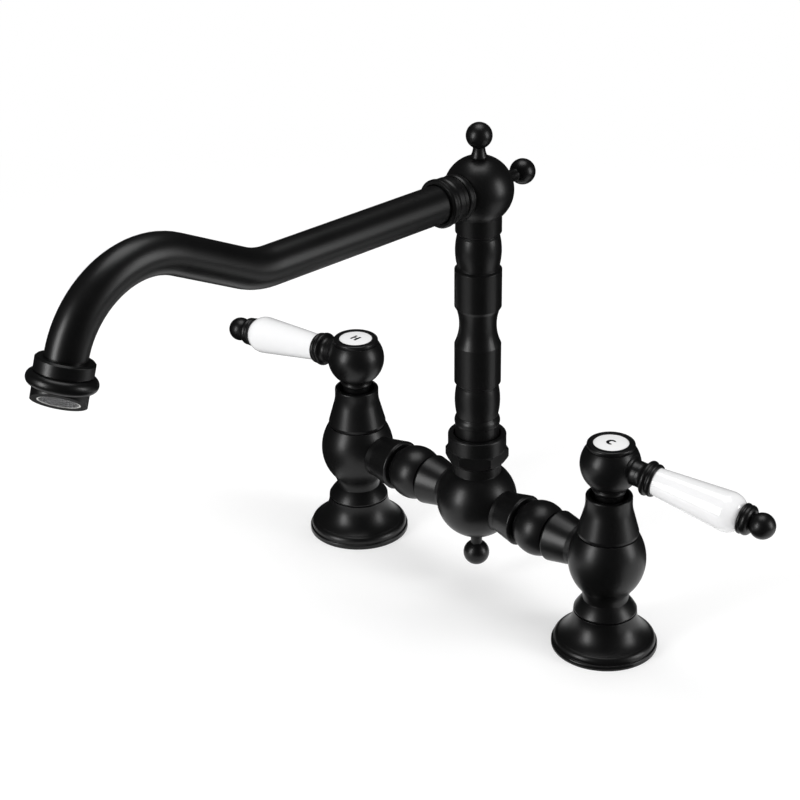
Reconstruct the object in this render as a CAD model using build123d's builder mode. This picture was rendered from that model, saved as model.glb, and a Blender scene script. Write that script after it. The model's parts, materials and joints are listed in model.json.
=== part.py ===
from build123d import *
import os
from math import acos, atan, cos, degrees, radians, sin, sqrt, tan

# Bridge kitchen tap. Millimetres, +Z up.
# The origin is on the worktop, midway between the two pillars.
# +X points to the cold pillar and the spout reaches out along -Y.

# ---------------------------------------------------------------- overall layout
TAP_CENTRES = 180.0          # between the two pillar axes
BRIDGE_HEIGHT = 51.4         # axis of the bridge arms above the worktop
SPOUT_HEIGHT = 230.5         # centre of the elbow ball above the worktop
SPOUT_REACH = 265.1          # column axis to the tip collar's upper rim
TIP_RISE = 0.5               # elbow ball's centre up to the tip collar's upper rim

# ---------------------------------------------------------------- clearances
SEAT_GAP = 0.05              # between a piece and the fixed piece that it fits in
RUNNING_GAP = 0.05           # round a shaft that turns
FREE_GAP = 0.4               # between faces that pass each other as they turn

# ---------------------------------------------------------------- base flange
FLANGE_RADIUS = 27.75
FLANGE_HEIGHT = 20.6
FLANGE_RIM = 2.6
FLANGE_RIM_ROUND = 0.7
FLANGE_STEP = 0.9
FLANGE_STEP_RISE = 0.8
FLANGE_TOP_RADIUS = 16.6
FLANGE_TURN_INSET = 0.25      # where the bulge turns into the cove, as a share inwards
FLANGE_TURN_RISE = 0.18      # and as a share of the bell's height
FLANGE_WALL = 3.2
FLANGE_WEB = 9.5
FLANGE_SHELF = 3.5
GASKET_THICKNESS = 2.0
GASKET_WIDTH = 6.0

# ---------------------------------------------------------------- valve body
TAIL_RADIUS = 13.0
INLET_RADIUS = 9.3           # half the bore of a half inch pipe thread
INLET_DEPTH = 15.0
WATERWAY_RADIUS = 6.0
SHADOW_GAP = 0.8             # width of the fine grooves between turned pieces
SHADOW_DEPTH = 0.8
BEAD_RADIUS = 16.5
BEAD_EDGE = 0.5
BEAD_CROWN = 0.2            # how far the bead's slope bulges
NECK_RADIUS = 11.9
NECK_SHARE = 0.44            # height of the narrowest place between the bead and the bulb
BULB_RADIUS = 20.2
BULB_FOOT_RADIUS = 14.6
BULB_FOOT_DROP = 15.9        # arm axis to where the bulb turns into the neck's flare
BULB_RISE = 14.8             # arm axis to the foot of the bonnet sleeve
BOSS_WALL = 2.6              # outside the cartridge's thread
BOSS_HEIGHT = 4.3
CHAMBER_CLEARANCE = 0.8      # water space round the cartridge
CHAMBER_FLOOR = 8.8          # below the arm axis
CHAMBER_ROOF = 9.6           # above the arm axis
CARTRIDGE_THREAD_STEP = 1.0  # cartridge thread outside the chamber

# ---------------------------------------------------------------- bonnet sleeve
SLEEVE_FOOT_RADIUS = 15.9
SLEEVE_TOP_RADIUS = 12.1
SLEEVE_HEIGHT = 22.6
SLEEVE_LIP = 1.3
SLEEVE_STRAIGHT = 4.0
SLEEVE_BLEND = 5.2
SLEEVE_WALL = 1.9
SLEEVE_TOP_ROUND = 0.8
RECESS_DEPTH = 7.3
RECESS_WEB = 2.0

# ---------------------------------------------------------------- ceramic disc cartridge
SEAT_WASHER_THICKNESS = 1.5
DISC_RADIUS = 7.0
DISC_THICKNESS = 3.0
DISC_CLEARANCE = 0.3         # round the turning disc
DISC_FILM = 0.05             # water film between the two discs
CARTRIDGE_WALL = 1.3
CARTRIDGE_HEX = 17.0         # across flats
CARTRIDGE_HEX_HEIGHT = 5.0
CARTRIDGE_NECK_RADIUS = 6.8
WINDOW_WIDTH = 8.0
WINDOW_HEIGHT = 3.6
PORT_RADIUS = 2.2
PORT_SPACING = 7.6
SPINDLE_RADIUS = 3.9
SPINDLE_FOOT_RADIUS = 6.0
SPINDLE_FOOT_HEIGHT = 2.4
SPINDLE_GRIP = 11.0          # length of the spindle inside the handle hub

# ---------------------------------------------------------------- handle
KNOB_RADIUS = 15.6
KNOB_LIFT = 2.3              # sleeve top to the underside of the knob ball
SKIRT_RADIUS = 7.3
SKIRT_NECK_RADIUS = 7.9
SKIRT_BEAD_RADIUS = 8.6
SKIRT_BEAD_HEIGHT = 3.0
SKIRT_DEPTH = 5.6            # how far the skirt reaches into the sleeve
CAP_RADIUS = 12.3
CAP_HEIGHT = 2.4
CAP_ROUND = 0.9
CAP_NOTCH = 0.4
CAP_STEM_RADIUS = 7.9
CAP_STEM_LENGTH = 5.0
CAP_FLOOR = 0.7
BUTTON_RADIUS = 9.1
BUTTON_DOME = 0.45
SCREW_HEAD_RADIUS = 4.0
SCREW_HEAD_HEIGHT = 2.6
SCREW_RADIUS = 2.0
SCREW_LENGTH = 8.0
SCREW_SOCKET = 3.0           # across flats of the hexagon socket
SCREW_LAND = 1.0             # hub's web between the spindle's end and the screw's head

# ---------------------------------------------------------------- lever
HOT_YAW = 184.7              # closed direction of the hot lever from +X
COLD_YAW = 7.3               # closed direction of the cold lever from +X
LEVER_DROOP = 5.4            # degrees below level
LEVER_RISE = 0.8             # lever axis above the knob centre
KNUCKLE_PROUD = 1.8          # knob ball's surface to the face that the collar meets
KNUCKLE_ROOT_RADIUS = 8.9
KNUCKLE_STRAIGHT = 2.2
COLLAR_NECK_RADIUS = 6.6      # also the knuckle's radius
COLLAR_NECK = 3.9
COLLAR_NECK_STRAIGHT = 1.3
COLLAR_LIP_WALL = 0.6        # collar's lip outside the grip; the rings below stand on it
COLLAR_BEAD_PROUD = 1.35
COLLAR_DISH_PROUD = 0.5
COLLAR_GROOVE_PROUD = 0.05
COLLAR_CUP_PROUD = 0.75
COLLAR_BEAD_LENGTH = 3.0
COLLAR_GROOVE = 0.4
COLLAR_CUP_LENGTH = 2.7
CUP_OVERLAP = 1.2            # how far the collar and the ferrule lap the grip
GRIP_INNER_RADIUS = 7.2
GRIP_OUTER_RADIUS = 10.3
GRIP_TAPER_LENGTH = 40.6
GRIP_END_LENGTH = 9.9
GRIP_END_RADIUS = 6.4
FERRULE_WALL = 0.45          # ferrule's edge outside the grip; its steps stand on it
FERRULE_PROUD = 1.1
FERRULE_GROOVE_PROUD = 0.45
FERRULE_BODY_PROUD = 0.85
FERRULE_END_INSET = 1.2
FERRULE_LENGTH = 6.0
FERRULE_RIM = 2.3
FERRULE_NECK_RADIUS = 4.4
BALL_END_RADIUS = 6.65
BALL_END_REACH = 11.4        # ferrule's wide face to the centre of the ball
ROD_RADIUS = 2.5
ROD_IN_HUB = 8.6
ROD_IN_BALL = 7.0

# ---------------------------------------------------------------- bridge
TEE_RADIUS = 21.7
TEE_RISE = 1.3               # arm axis up to the centre of the tee's ball
ARM_END_RADIUS = 11.4
ARM_SEAT_EDGE = 0.9          # ball left standing round the arm's seat
ARM_STRAIGHT = 4.0
ARM_FLANK_RADIUS = 13.9
ARM_FLANK_ROUND = 1.3
ARM_BEAD_RADIUS = 14.85
ARM_BEAD_HALF = 8.9
ARM_GROOVE_RADIUS = 10.3
ARM_GROOVE = 1.8
SPIGOT_RADIUS = 9.0
SPIGOT_STOP = 0.1            # a spigot's end to the valve chamber
ORING_SECTION = 0.74         # radius of an O-ring's round section
ORING_GROOVE_WIDTH = 1.7
TEE_NECK_WALL = 2.75         # thread outside the socket that the column turns in
TEE_NECK_STEP = 0.8          # plain neck outside the thread
TEE_NECK_RISE = 1.05         # top of the ball to the foot of the union nut
TEE_WEB = 2.05               # between the arms' sockets and the column's socket
TEE_CAVITY_RADIUS = 7.5
TEE_CAVITY_FLOOR = 9.5       # below the arm axis

# ---------------------------------------------------------------- ball finials
FINIAL_STUD_RADIUS = 2.5
FINIAL_STUD_LENGTH = 6.0
FINIAL_BALL_RADIUS = 6.75
FINIAL_STEM_RADIUS = 3.1
FINIAL_FOOT_RADIUS = 4.3
LOWER_FINIAL_RADIUS = 7.05
TOP_FINIAL_STANDOFF = 10.9   # elbow ball's surface to the finial's centre
BACK_FINIAL_STANDOFF = 15.7
LOWER_FINIAL_STANDOFF = 12.2 # tee ball's surface to the finial's centre
FINIAL_FOOT = 0.6            # thickness of the two upper finials' feet

# ---------------------------------------------------------------- union nut and swivel
NUT_WALL = 2.3               # outside the thread, at the middle of a flat
NUT_FOOT_STEP = 0.5          # the hexagon's underside is a cone from this far outside the neck
NUT_HEX_HEIGHT = 8.65
NUT_BEVEL = 35.0             # degrees, the hexagon's upper edge
NUT_RING_STEP = 0.9          # round ring outside the middle of a flat
NUT_RING_HEIGHT = 8.45
NUT_RING_ROUND = 0.9
NUT_MOUTH_GAP = 0.65         # round the column's foot
NUT_MOUTH_ROUND = 0.4
NUT_MOUTH_DEPTH = 3.7
NUT_LIP_THICKNESS = 2.2
NUT_TURN = 37.5              # turn of the hexagon about the column
GLIDE_THICKNESS = 1.2
SPLIT_RING_PROUD = 2.1       # outside the column's spigot
SPLIT_RING_THICKNESS = 1.3
SPLIT_RING_GROOVE_DEPTH = 0.9
SPLIT_RING_GAP = 3.0

# ---------------------------------------------------------------- column
COLUMN_SPIGOT_RADIUS = 9.5
COLUMN_SEAL_FOOT = 4.5       # spigot's end to its first O-ring
COLUMN_SEAL_SPACING = 5.0
COLUMN_SPIGOT_WALL = 1.5     # wall of the spigot that the elbow sits on
COLUMN_FOOT_RADIUS = 11.75
COLUMN_FOOT_HEIGHT = 9.1
FOOT_BEAD_RADIUS = 12.1
FOOT_BEAD_HEIGHT = 4.6
FOOT_GROOVE_RADIUS = 10.9
FOOT_GROOVE = 1.0
COLUMN_GROOVE_RADIUS = 11.05
COLUMN_GROOVE = 1.4
LOWER_BARREL_RADIUS = 12.0
LOWER_BARREL_HEIGHT = 16.8
LOWER_DRUM_RADIUS = 12.25
LOWER_DRUM_HEIGHT = 22.7
WAIST_RADIUS = 9.78
WAIST_NARROWEST = 0.57       # share of the waist's height where it is narrowest
WAIST_END_RADIUS = 11.2
DRUM_CHAMFER_RISE = 1.8
UPPER_DRUM_RADIUS = 12.3
UPPER_DRUM_HEIGHT = 21.6
UPPER_BARREL_RADIUS = 12.0
UPPER_BARREL_HEIGHT = 16.3
DRUM_ROUND = 1.0

# ---------------------------------------------------------------- elbow and socket
ELBOW_RADIUS = 17.9
ELBOW_COLLAR_RADIUS = 11.95
ELBOW_COLLAR_LENGTH = 5.4    # below the ball
ELBOW_SPIGOT_LENGTH = 7.4
SOCKET_SINK = 5.0            # how far the socket is sunk into the ball
SOCKET_SPIGOT = 5.5
SOCKET_SPIGOT_WALL = 1.0
SOCKET_WALL = 1.2            # outside the tube, at the groove; the rings below stand on it
SOCKET_NECK_INSET = 0.1
SOCKET_RING_PROUD = 1.0
SOCKET_BAND_PROUD = 1.0
SOCKET_LIP_GROOVE_PROUD = 0.5
SOCKET_LIP_PROUD = 1.5
SOCKET_NECK = 2.4
SOCKET_RING = 3.6
SOCKET_GROOVE = 3.0
SOCKET_BAND = 4.5
SOCKET_LIP_GROOVE = 1.6
SOCKET_LIP = 3.1
SOCKET_ROUND = 0.9
TUBE_STANDOFF = 7.1          # socket's face to the end of the tube

# ---------------------------------------------------------------- spout tube
TUBE_RADIUS = 9.75
TUBE_WALL = 1.3
SPOUT_RISE = 2.0             # degrees, the long straight run
SWAN_RISE = 26.4             # degrees, the run up to the crest
SWAN_SPAN = 111.2            # from where the two runs would meet to the tip, level
TIP_LEAN = 17.2              # degrees, the tip's axis off the vertical
LOW_BEND_RADIUS = 43.0
CREST_BEND_RADIUS = 46.0

# ---------------------------------------------------------------- tip and aerator
TIP_COLLAR_RADIUS = 13.4
TIP_COLLAR_LENGTH = 6.2
TIP_COLLAR_ROUND = 0.8
TIP_GROOVE = 0.4
TIP_GROOVE_RADIUS = 12.6
TIP_BEAD_RADIUS = 16.1
TIP_BEAD_LENGTH = 6.6
TUBE_IN_TIP = 8.6
TIP_STEP_RADIUS = 8.2
AERATOR_THREAD_RADIUS = 11.0
AERATOR_THREAD_LENGTH = 4.4
NOZZLE_RADIUS = 12.7
NOZZLE_SLANT = 28.0          # degrees, the outlet face against the tip's axis
NOZZLE_TURN = 50.0           # the way the slanted face looks, from -Y towards +X
NOZZLE_FRONT = 0.1           # height of the nozzle at its shortest side
NOZZLE_BORE_RADIUS = 7.6
AERATOR_RADIUS = 9.7
AERATOR_THICKNESS = 3.0
AERATOR_RECESS = 0.2
AERATOR_HOLE_RADIUS = 1.1
AERATOR_HOLE_RING = 5.0
AERATOR_HOLES = 8
SCREEN_RADIUS = 8.9
SCREEN_THICKNESS = 0.5
SCREEN_RIM = 0.9
SCREEN_PITCH = 1.15
SCREEN_HOLE = 0.75
AERATOR_WASHER_THICKNESS = 1.5

os.makedirs("parts", exist_ok=True)


def chord(radius, offset):
    """Half width of a ball's section at this offset from its centre."""
    return sqrt(radius**2 - offset**2)


def upright_section(x):
    """Plane through a pillar's axis: local x is the radius and local y is the height."""
    return Plane(origin=(x, 0, 0), x_dir=(1, 0, 0), z_dir=(0, -1, 0))


def upright_axis(x):
    return Axis((x, 0, 0), (0, 0, 1))


# Radii of the cartridge and of what it fits in.
cartridge_cavity_radius = DISC_RADIUS + DISC_CLEARANCE
cartridge_radius = cartridge_cavity_radius + CARTRIDGE_WALL
chamber_radius = cartridge_radius + CHAMBER_CLEARANCE
cartridge_thread_radius = chamber_radius + CARTRIDGE_THREAD_STEP
boss_radius = cartridge_thread_radius + BOSS_WALL

# Heights that follow from the dimensions above.
bead_foot = FLANGE_HEIGHT + SHADOW_GAP
bead_edge_top = bead_foot + BEAD_EDGE
bulb_foot = BRIDGE_HEIGHT - BULB_FOOT_DROP
neck_height = bead_edge_top + (bulb_foot - bead_edge_top) * NECK_SHARE
shoulder = BRIDGE_HEIGHT + BULB_RISE
boss_top = shoulder + BOSS_HEIGHT
chamber_floor = BRIDGE_HEIGHT - CHAMBER_FLOOR
chamber_roof = BRIDGE_HEIGHT + CHAMBER_ROOF
sleeve_top = shoulder + SLEEVE_HEIGHT
sleeve_web_top = sleeve_top - RECESS_DEPTH
sleeve_web_foot = sleeve_web_top - RECESS_WEB
recess_radius = SLEEVE_TOP_RADIUS - SLEEVE_WALL
hex_space_radius = CARTRIDGE_HEX / sqrt(3) + FREE_GAP
knob_height = sleeve_top + KNOB_LIFT + KNOB_RADIUS
knuckle_reach = KNOB_RADIUS + KNUCKLE_PROUD
skirt_foot = sleeve_top - SKIRT_DEPTH
knob_top = knob_height + chord(KNOB_RADIUS, CAP_RADIUS)
spindle_top = skirt_foot + SPINDLE_GRIP
screw_seat = spindle_top + SEAT_GAP + SCREW_LAND
cap_stem_foot = knob_top - CAP_STEM_LENGTH
lever_height = knob_height + LEVER_RISE
socket_radius = SPIGOT_RADIUS + SEAT_GAP
bulb_seat = chord(BULB_RADIUS, ARM_END_RADIUS + ARM_SEAT_EDGE)
tee_seat = chord(TEE_RADIUS, ARM_END_RADIUS + ARM_SEAT_EDGE + TEE_RISE)
spigot_length = bulb_seat - chamber_radius - SPIGOT_STOP
oring_ring_radius = SPIGOT_RADIUS - ORING_SECTION
oring_groove_radius = SPIGOT_RADIUS - 2 * ORING_SECTION - SEAT_GAP


# ================================================================ the two pillars
pillars = (("hot", -TAP_CENTRES / 2, 1, HOT_YAW), ("cold", TAP_CENTRES / 2, -1, COLD_YAW))
for side, pillar_x, inward, yaw in pillars:
    section = upright_section(pillar_x)
    axis = upright_axis(pillar_x)

    # Bell-shaped cover that stands on the worktop round the pillar's tail.
    with BuildPart() as base_flange:
        with BuildSketch(section):
            with BuildLine():
                step_radius = FLANGE_RADIUS - FLANGE_STEP
                step_top = FLANGE_RIM + FLANGE_STEP_RISE
                turn_x = step_radius + (FLANGE_TOP_RADIUS - step_radius) * FLANGE_TURN_INSET
                turn_z = step_top + (FLANGE_HEIGHT - step_top) * FLANGE_TURN_RISE
                cover_bore = TAIL_RADIUS + SEAT_GAP
                web_foot = FLANGE_HEIGHT - FLANGE_WEB
                Polyline(
                    (FLANGE_TOP_RADIUS, FLANGE_HEIGHT),
                    (cover_bore, FLANGE_HEIGHT),
                    (cover_bore, web_foot),
                    (TAIL_RADIUS + FLANGE_SHELF, web_foot),
                    (FLANGE_RADIUS - FLANGE_WALL, GASKET_THICKNESS + 1),
                    (FLANGE_RADIUS - FLANGE_WALL, 0),
                    (FLANGE_RADIUS, 0),
                    (FLANGE_RADIUS, FLANGE_RIM),
                    (step_radius, FLANGE_RIM),
                    (step_radius, step_top),
                )
                TangentArc((step_radius, step_top), (turn_x, turn_z), tangent=(0, 1))
                TangentArc((FLANGE_TOP_RADIUS, FLANGE_HEIGHT), (turn_x, turn_z), tangent=(0, -1))
            make_face()
        revolve(axis=axis)
        rim_edges = base_flange.edges().filter_by(GeomType.CIRCLE).filter_by(
            lambda e: abs(e.radius - FLANGE_RADIUS) < 0.01
        )
        fillet(rim_edges.sort_by(Axis.Z)[-1], min(FLANGE_RIM_ROUND, 0.8 * FLANGE_STEP))
    base_flange.part.label = f"{side}_base_flange"
    export_step(base_flange.part, f"parts/{side}_base_flange.step")

    # Soft ring that seals the flange to the worktop.
    with BuildPart() as flange_gasket:
        with BuildSketch(Plane(origin=(pillar_x, 0, 0))):
            gasket_radius = FLANGE_RADIUS - FLANGE_WALL - SEAT_GAP
            Circle(gasket_radius)
            Circle(gasket_radius - GASKET_WIDTH, mode=Mode.SUBTRACT)
        extrude(amount=GASKET_THICKNESS)
    flange_gasket.part.label = f"{side}_flange_gasket"
    export_step(flange_gasket.part, f"parts/{side}_flange_gasket.step")

    # Pillar body: threaded inlet, round neck, bulb with the arm's socket, threaded boss.
    with BuildPart() as valve_body:
        with BuildSketch(section):
            with BuildLine():
                Polyline(
                    (0, 0),
                    (TAIL_RADIUS, 0),
                    (TAIL_RADIUS, FLANGE_HEIGHT),
                    (BEAD_RADIUS - SHADOW_DEPTH, FLANGE_HEIGHT),
                    (BEAD_RADIUS - SHADOW_DEPTH, bead_foot),
                    (BEAD_RADIUS, bead_foot),
                    (BEAD_RADIUS, bead_edge_top),
                )
                slope_middle = (
                    (BEAD_RADIUS + NECK_RADIUS) / 2 + BEAD_CROWN,
                    (bead_edge_top + neck_height) / 2 + BEAD_CROWN,
                )
                ThreePointArc((BEAD_RADIUS, bead_edge_top), slope_middle, (NECK_RADIUS, neck_height))
                bulb_turn = (BULB_FOOT_RADIUS, bulb_foot)
                TangentArc((NECK_RADIUS, neck_height), bulb_turn, tangent=(0, 1))
                TangentArc((BULB_RADIUS, BRIDGE_HEIGHT), bulb_turn, tangent=(0, -1))
                TangentArc(
                    (BULB_RADIUS, BRIDGE_HEIGHT), (SLEEVE_FOOT_RADIUS, shoulder), tangent=(0, 1)
                )
                Polyline(
                    (SLEEVE_FOOT_RADIUS, shoulder),
                    (boss_radius, shoulder),
                    (boss_radius, boss_top),
                    (0, boss_top),
                    (0, 0),
                )
            make_face()
        revolve(axis=axis)
        with BuildSketch(section):
            with BuildLine():
                Polyline(
                    (0, 0),
                    (INLET_RADIUS, 0),
                    (INLET_RADIUS, INLET_DEPTH),
                    (WATERWAY_RADIUS, INLET_DEPTH),
                    (WATERWAY_RADIUS, chamber_floor),
                    (chamber_radius, chamber_floor),
                    (chamber_radius, chamber_roof),
                    (cartridge_thread_radius + SEAT_GAP, chamber_roof),
                    (cartridge_thread_radius + SEAT_GAP, boss_top),
                    (0, boss_top),
                    (0, 0),
                )
            make_face()
        revolve(axis=axis, mode=Mode.SUBTRACT)
        arm_mouth = Plane(
            origin=(pillar_x + inward * bulb_seat, 0, BRIDGE_HEIGHT), z_dir=(inward, 0, 0)
        )
        with BuildSketch(arm_mouth):
            Circle(ARM_END_RADIUS + SEAT_GAP)
        extrude(amount=BULB_RADIUS - bulb_seat, mode=Mode.SUBTRACT)
        with BuildSketch(arm_mouth):
            Circle(socket_radius)
        extrude(amount=-spigot_length - SEAT_GAP, mode=Mode.SUBTRACT)
        with BuildSketch(arm_mouth):
            Circle(WATERWAY_RADIUS)
        extrude(amount=-bulb_seat, mode=Mode.SUBTRACT)
    valve_body.part.label = f"{side}_valve_body"
    export_step(valve_body.part, f"parts/{side}_valve_body.step")

    # Waisted cover screwed over the boss, open at the top for the handle's skirt.
    with BuildPart() as bonnet_sleeve:
        with BuildSketch(section):
            with BuildLine():
                lip_foot = shoulder + SHADOW_GAP
                lip_top = lip_foot + SLEEVE_LIP
                blend_top = sleeve_top - SLEEVE_STRAIGHT
                blend_foot = blend_top - SLEEVE_BLEND
                flare = SLEEVE_FOOT_RADIUS - SLEEVE_TOP_RADIUS
                flare_angle = atan(flare / (blend_foot - lip_top + SLEEVE_BLEND / 2))
                blend_radius = SLEEVE_TOP_RADIUS + SLEEVE_BLEND * tan(flare_angle / 2)
                cover_bore = boss_radius + SEAT_GAP
                Polyline(
                    (blend_radius, blend_foot),
                    (SLEEVE_FOOT_RADIUS, lip_top),
                    (SLEEVE_FOOT_RADIUS, lip_foot),
                    (SLEEVE_FOOT_RADIUS - SHADOW_DEPTH, lip_foot),
                    (SLEEVE_FOOT_RADIUS - SHADOW_DEPTH, shoulder),
                    (cover_bore, shoulder),
                    (cover_bore, boss_top + SEAT_GAP),
                    (hex_space_radius, boss_top + SEAT_GAP),
                    (hex_space_radius, sleeve_web_foot),
                    (CARTRIDGE_NECK_RADIUS + SEAT_GAP, sleeve_web_foot),
                    (CARTRIDGE_NECK_RADIUS + SEAT_GAP, sleeve_web_top),
                    (recess_radius, sleeve_web_top),
                    (recess_radius, sleeve_top),
                    (SLEEVE_TOP_RADIUS, sleeve_top),
                    (SLEEVE_TOP_RADIUS, blend_top),
                )
                TangentArc(
                    (SLEEVE_TOP_RADIUS, blend_top), (blend_radius, blend_foot), tangent=(0, -1)
                )
            make_face()
        revolve(axis=axis)
        top_edges = bonnet_sleeve.edges().filter_by(GeomType.CIRCLE).group_by(Axis.Z)[-1]
        fillet(top_edges.sort_by(SortBy.RADIUS)[-1], SLEEVE_TOP_ROUND)
    bonnet_sleeve.part.label = f"{side}_bonnet_sleeve"
    export_step(bonnet_sleeve.part, f"parts/{side}_bonnet_sleeve.step")

    # Heights inside the cartridge, from the seat washer up.
    cartridge_foot = chamber_floor + SEAT_WASHER_THICKNESS
    fixed_disc_top = cartridge_foot + DISC_THICKNESS
    turning_disc_foot = fixed_disc_top + DISC_FILM
    turning_disc_top = turning_disc_foot + DISC_THICKNESS
    spindle_foot_top = turning_disc_top + SPINDLE_FOOT_HEIGHT
    cartridge_cavity_top = spindle_foot_top + FREE_GAP
    hex_top = boss_top + CARTRIDGE_HEX_HEIGHT

    # Rubber washer between the cartridge and the seat.
    with BuildPart() as seat_washer:
        with BuildSketch(Plane(origin=(pillar_x, 0, chamber_floor))):
            Circle(cartridge_radius - SEAT_GAP)
            Circle(WATERWAY_RADIUS, mode=Mode.SUBTRACT)
        extrude(amount=SEAT_WASHER_THICKNESS)
    seat_washer.part.label = f"{side}_seat_washer"
    export_step(seat_washer.part, f"parts/{side}_seat_washer.step")

    # Cartridge housing: disc cavity with side windows, thread, hexagon and spindle guide.
    with BuildPart() as cartridge_body:
        with BuildSketch(section):
            with BuildLine():
                Polyline(
                    (cartridge_cavity_radius, cartridge_foot),
                    (cartridge_radius, cartridge_foot),
                    (cartridge_radius, chamber_roof),
                    (cartridge_thread_radius, chamber_roof),
                    (cartridge_thread_radius, boss_top),
                    (CARTRIDGE_NECK_RADIUS, boss_top),
                    (CARTRIDGE_NECK_RADIUS, sleeve_web_top - FREE_GAP),
                    (SPINDLE_RADIUS + RUNNING_GAP, sleeve_web_top - FREE_GAP),
                    (SPINDLE_RADIUS + RUNNING_GAP, cartridge_cavity_top),
                    (cartridge_cavity_radius, cartridge_cavity_top),
                    (cartridge_cavity_radius, cartridge_foot),
                )
            make_face()
        revolve(axis=axis)
        with BuildSketch(Plane(origin=(pillar_x, 0, boss_top))):
            RegularPolygon(CARTRIDGE_HEX / 2, 6, major_radius=False)
            Circle(CARTRIDGE_NECK_RADIUS - SEAT_GAP, mode=Mode.SUBTRACT)
        extrude(amount=CARTRIDGE_HEX_HEIGHT)
        with BuildSketch(Plane(origin=(pillar_x, 0, turning_disc_top), z_dir=(0, 0, 1))):
            Rectangle(3 * chamber_radius, WINDOW_WIDTH)
        extrude(amount=WINDOW_HEIGHT, mode=Mode.SUBTRACT)
    cartridge_body.part.label = f"{side}_cartridge_body"
    export_step(cartridge_body.part, f"parts/{side}_cartridge_body.step")

    # Lower ceramic disc, held still in the cartridge.
    with BuildPart() as fixed_disc:
        with BuildSketch(Plane(origin=(pillar_x, 0, cartridge_foot))):
            Circle(cartridge_cavity_radius - SEAT_GAP)
            with GridLocations(0, PORT_SPACING, 1, 2):
                Circle(PORT_RADIUS, mode=Mode.SUBTRACT)
        extrude(amount=DISC_THICKNESS)
    fixed_disc.part.label = f"{side}_fixed_disc"
    export_step(fixed_disc.part, f"parts/{side}_fixed_disc.step")

    # Upper ceramic disc, turned by the spindle: its ports are a quarter turn off when shut.
    with BuildPart() as turning_disc:
        with BuildSketch(Plane(origin=(pillar_x, 0, turning_disc_foot))):
            Circle(DISC_RADIUS)
            with GridLocations(PORT_SPACING, 0, 2, 1):
                Circle(PORT_RADIUS, mode=Mode.SUBTRACT)
        extrude(amount=DISC_THICKNESS)
    turning_disc.part.label = f"{side}_turning_disc"
    export_step(turning_disc.part, f"parts/{side}_turning_disc.step")

    # Brass spindle with its driving foot and the tapped hole for the handle screw.
    with BuildPart() as spindle:
        with BuildSketch(section):
            with BuildLine():
                screw_end = screw_seat - SCREW_LENGTH - SEAT_GAP
                Polyline(
                    (0, turning_disc_top),
                    (SPINDLE_FOOT_RADIUS, turning_disc_top),
                    (SPINDLE_FOOT_RADIUS, spindle_foot_top),
                    (SPINDLE_RADIUS, spindle_foot_top),
                    (SPINDLE_RADIUS, spindle_top),
                    (SCREW_RADIUS + SEAT_GAP, spindle_top),
                    (SCREW_RADIUS + SEAT_GAP, screw_end),
                    (0, screw_end),
                    (0, turning_disc_top),
                )
            make_face()
        revolve(axis=axis)
    spindle.part.label = f"{side}_spindle"
    export_step(spindle.part, f"parts/{side}_spindle.step")

    # The lever's axis leaves the hub a little below level.
    out = (
        cos(radians(yaw)) * cos(radians(LEVER_DROOP)),
        sin(radians(yaw)) * cos(radians(LEVER_DROOP)),
        -sin(radians(LEVER_DROOP)),
    )
    lever_start = (pillar_x, 0, lever_height)
    sideways = (sin(radians(yaw)), -cos(radians(yaw)), 0)
    lever_section = Plane(origin=lever_start, x_dir=out, z_dir=sideways)
    lever_axis = Axis(lever_start, out)
    lever_mouth = Plane(origin=lever_start, z_dir=out)

    # Handle hub: ball with a flat top, a skirt below and a knuckle for the lever.
    with BuildPart() as handle_hub:
        with BuildSketch(section):
            with BuildLine():
                ball_foot = knob_height - chord(KNOB_RADIUS, SKIRT_NECK_RADIUS)
                skirt_bead_foot = ball_foot - SKIRT_BEAD_HEIGHT
                start = degrees(acos(SKIRT_NECK_RADIUS / KNOB_RADIUS))
                end = degrees(acos(CAP_RADIUS / KNOB_RADIUS))
                Polyline(
                    (0, knob_top),
                    (0, skirt_foot),
                    (SKIRT_RADIUS, skirt_foot),
                    (SKIRT_RADIUS, skirt_bead_foot),
                )
                ThreePointArc(
                    (SKIRT_RADIUS, skirt_bead_foot),
                    (SKIRT_BEAD_RADIUS, (skirt_bead_foot + ball_foot) / 2),
                    (SKIRT_NECK_RADIUS, ball_foot),
                )
                CenterArc((0, knob_height), KNOB_RADIUS, -start, start + end)
                Line((CAP_RADIUS, knob_top), (0, knob_top))
            make_face()
        revolve(axis=axis)
        with BuildSketch(lever_section):
            with BuildLine():
                Polyline(
                    (CAP_STEM_RADIUS, 0),
                    (knuckle_reach, 0),
                    (knuckle_reach, COLLAR_NECK_RADIUS),
                    (knuckle_reach - KNUCKLE_STRAIGHT, COLLAR_NECK_RADIUS),
                )
                TangentArc(
                    (knuckle_reach - KNUCKLE_STRAIGHT, COLLAR_NECK_RADIUS),
                    (chord(KNOB_RADIUS, KNUCKLE_ROOT_RADIUS), KNUCKLE_ROOT_RADIUS),
                    tangent=(-1, 0),
                )
                Polyline(
                    (chord(KNOB_RADIUS, KNUCKLE_ROOT_RADIUS), KNUCKLE_ROOT_RADIUS),
                    (CAP_STEM_RADIUS, COLLAR_NECK_RADIUS),
                    (CAP_STEM_RADIUS, 0),
                )
            make_face()
        revolve(axis=lever_axis)
        with BuildSketch(section):
            with BuildLine():
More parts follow.
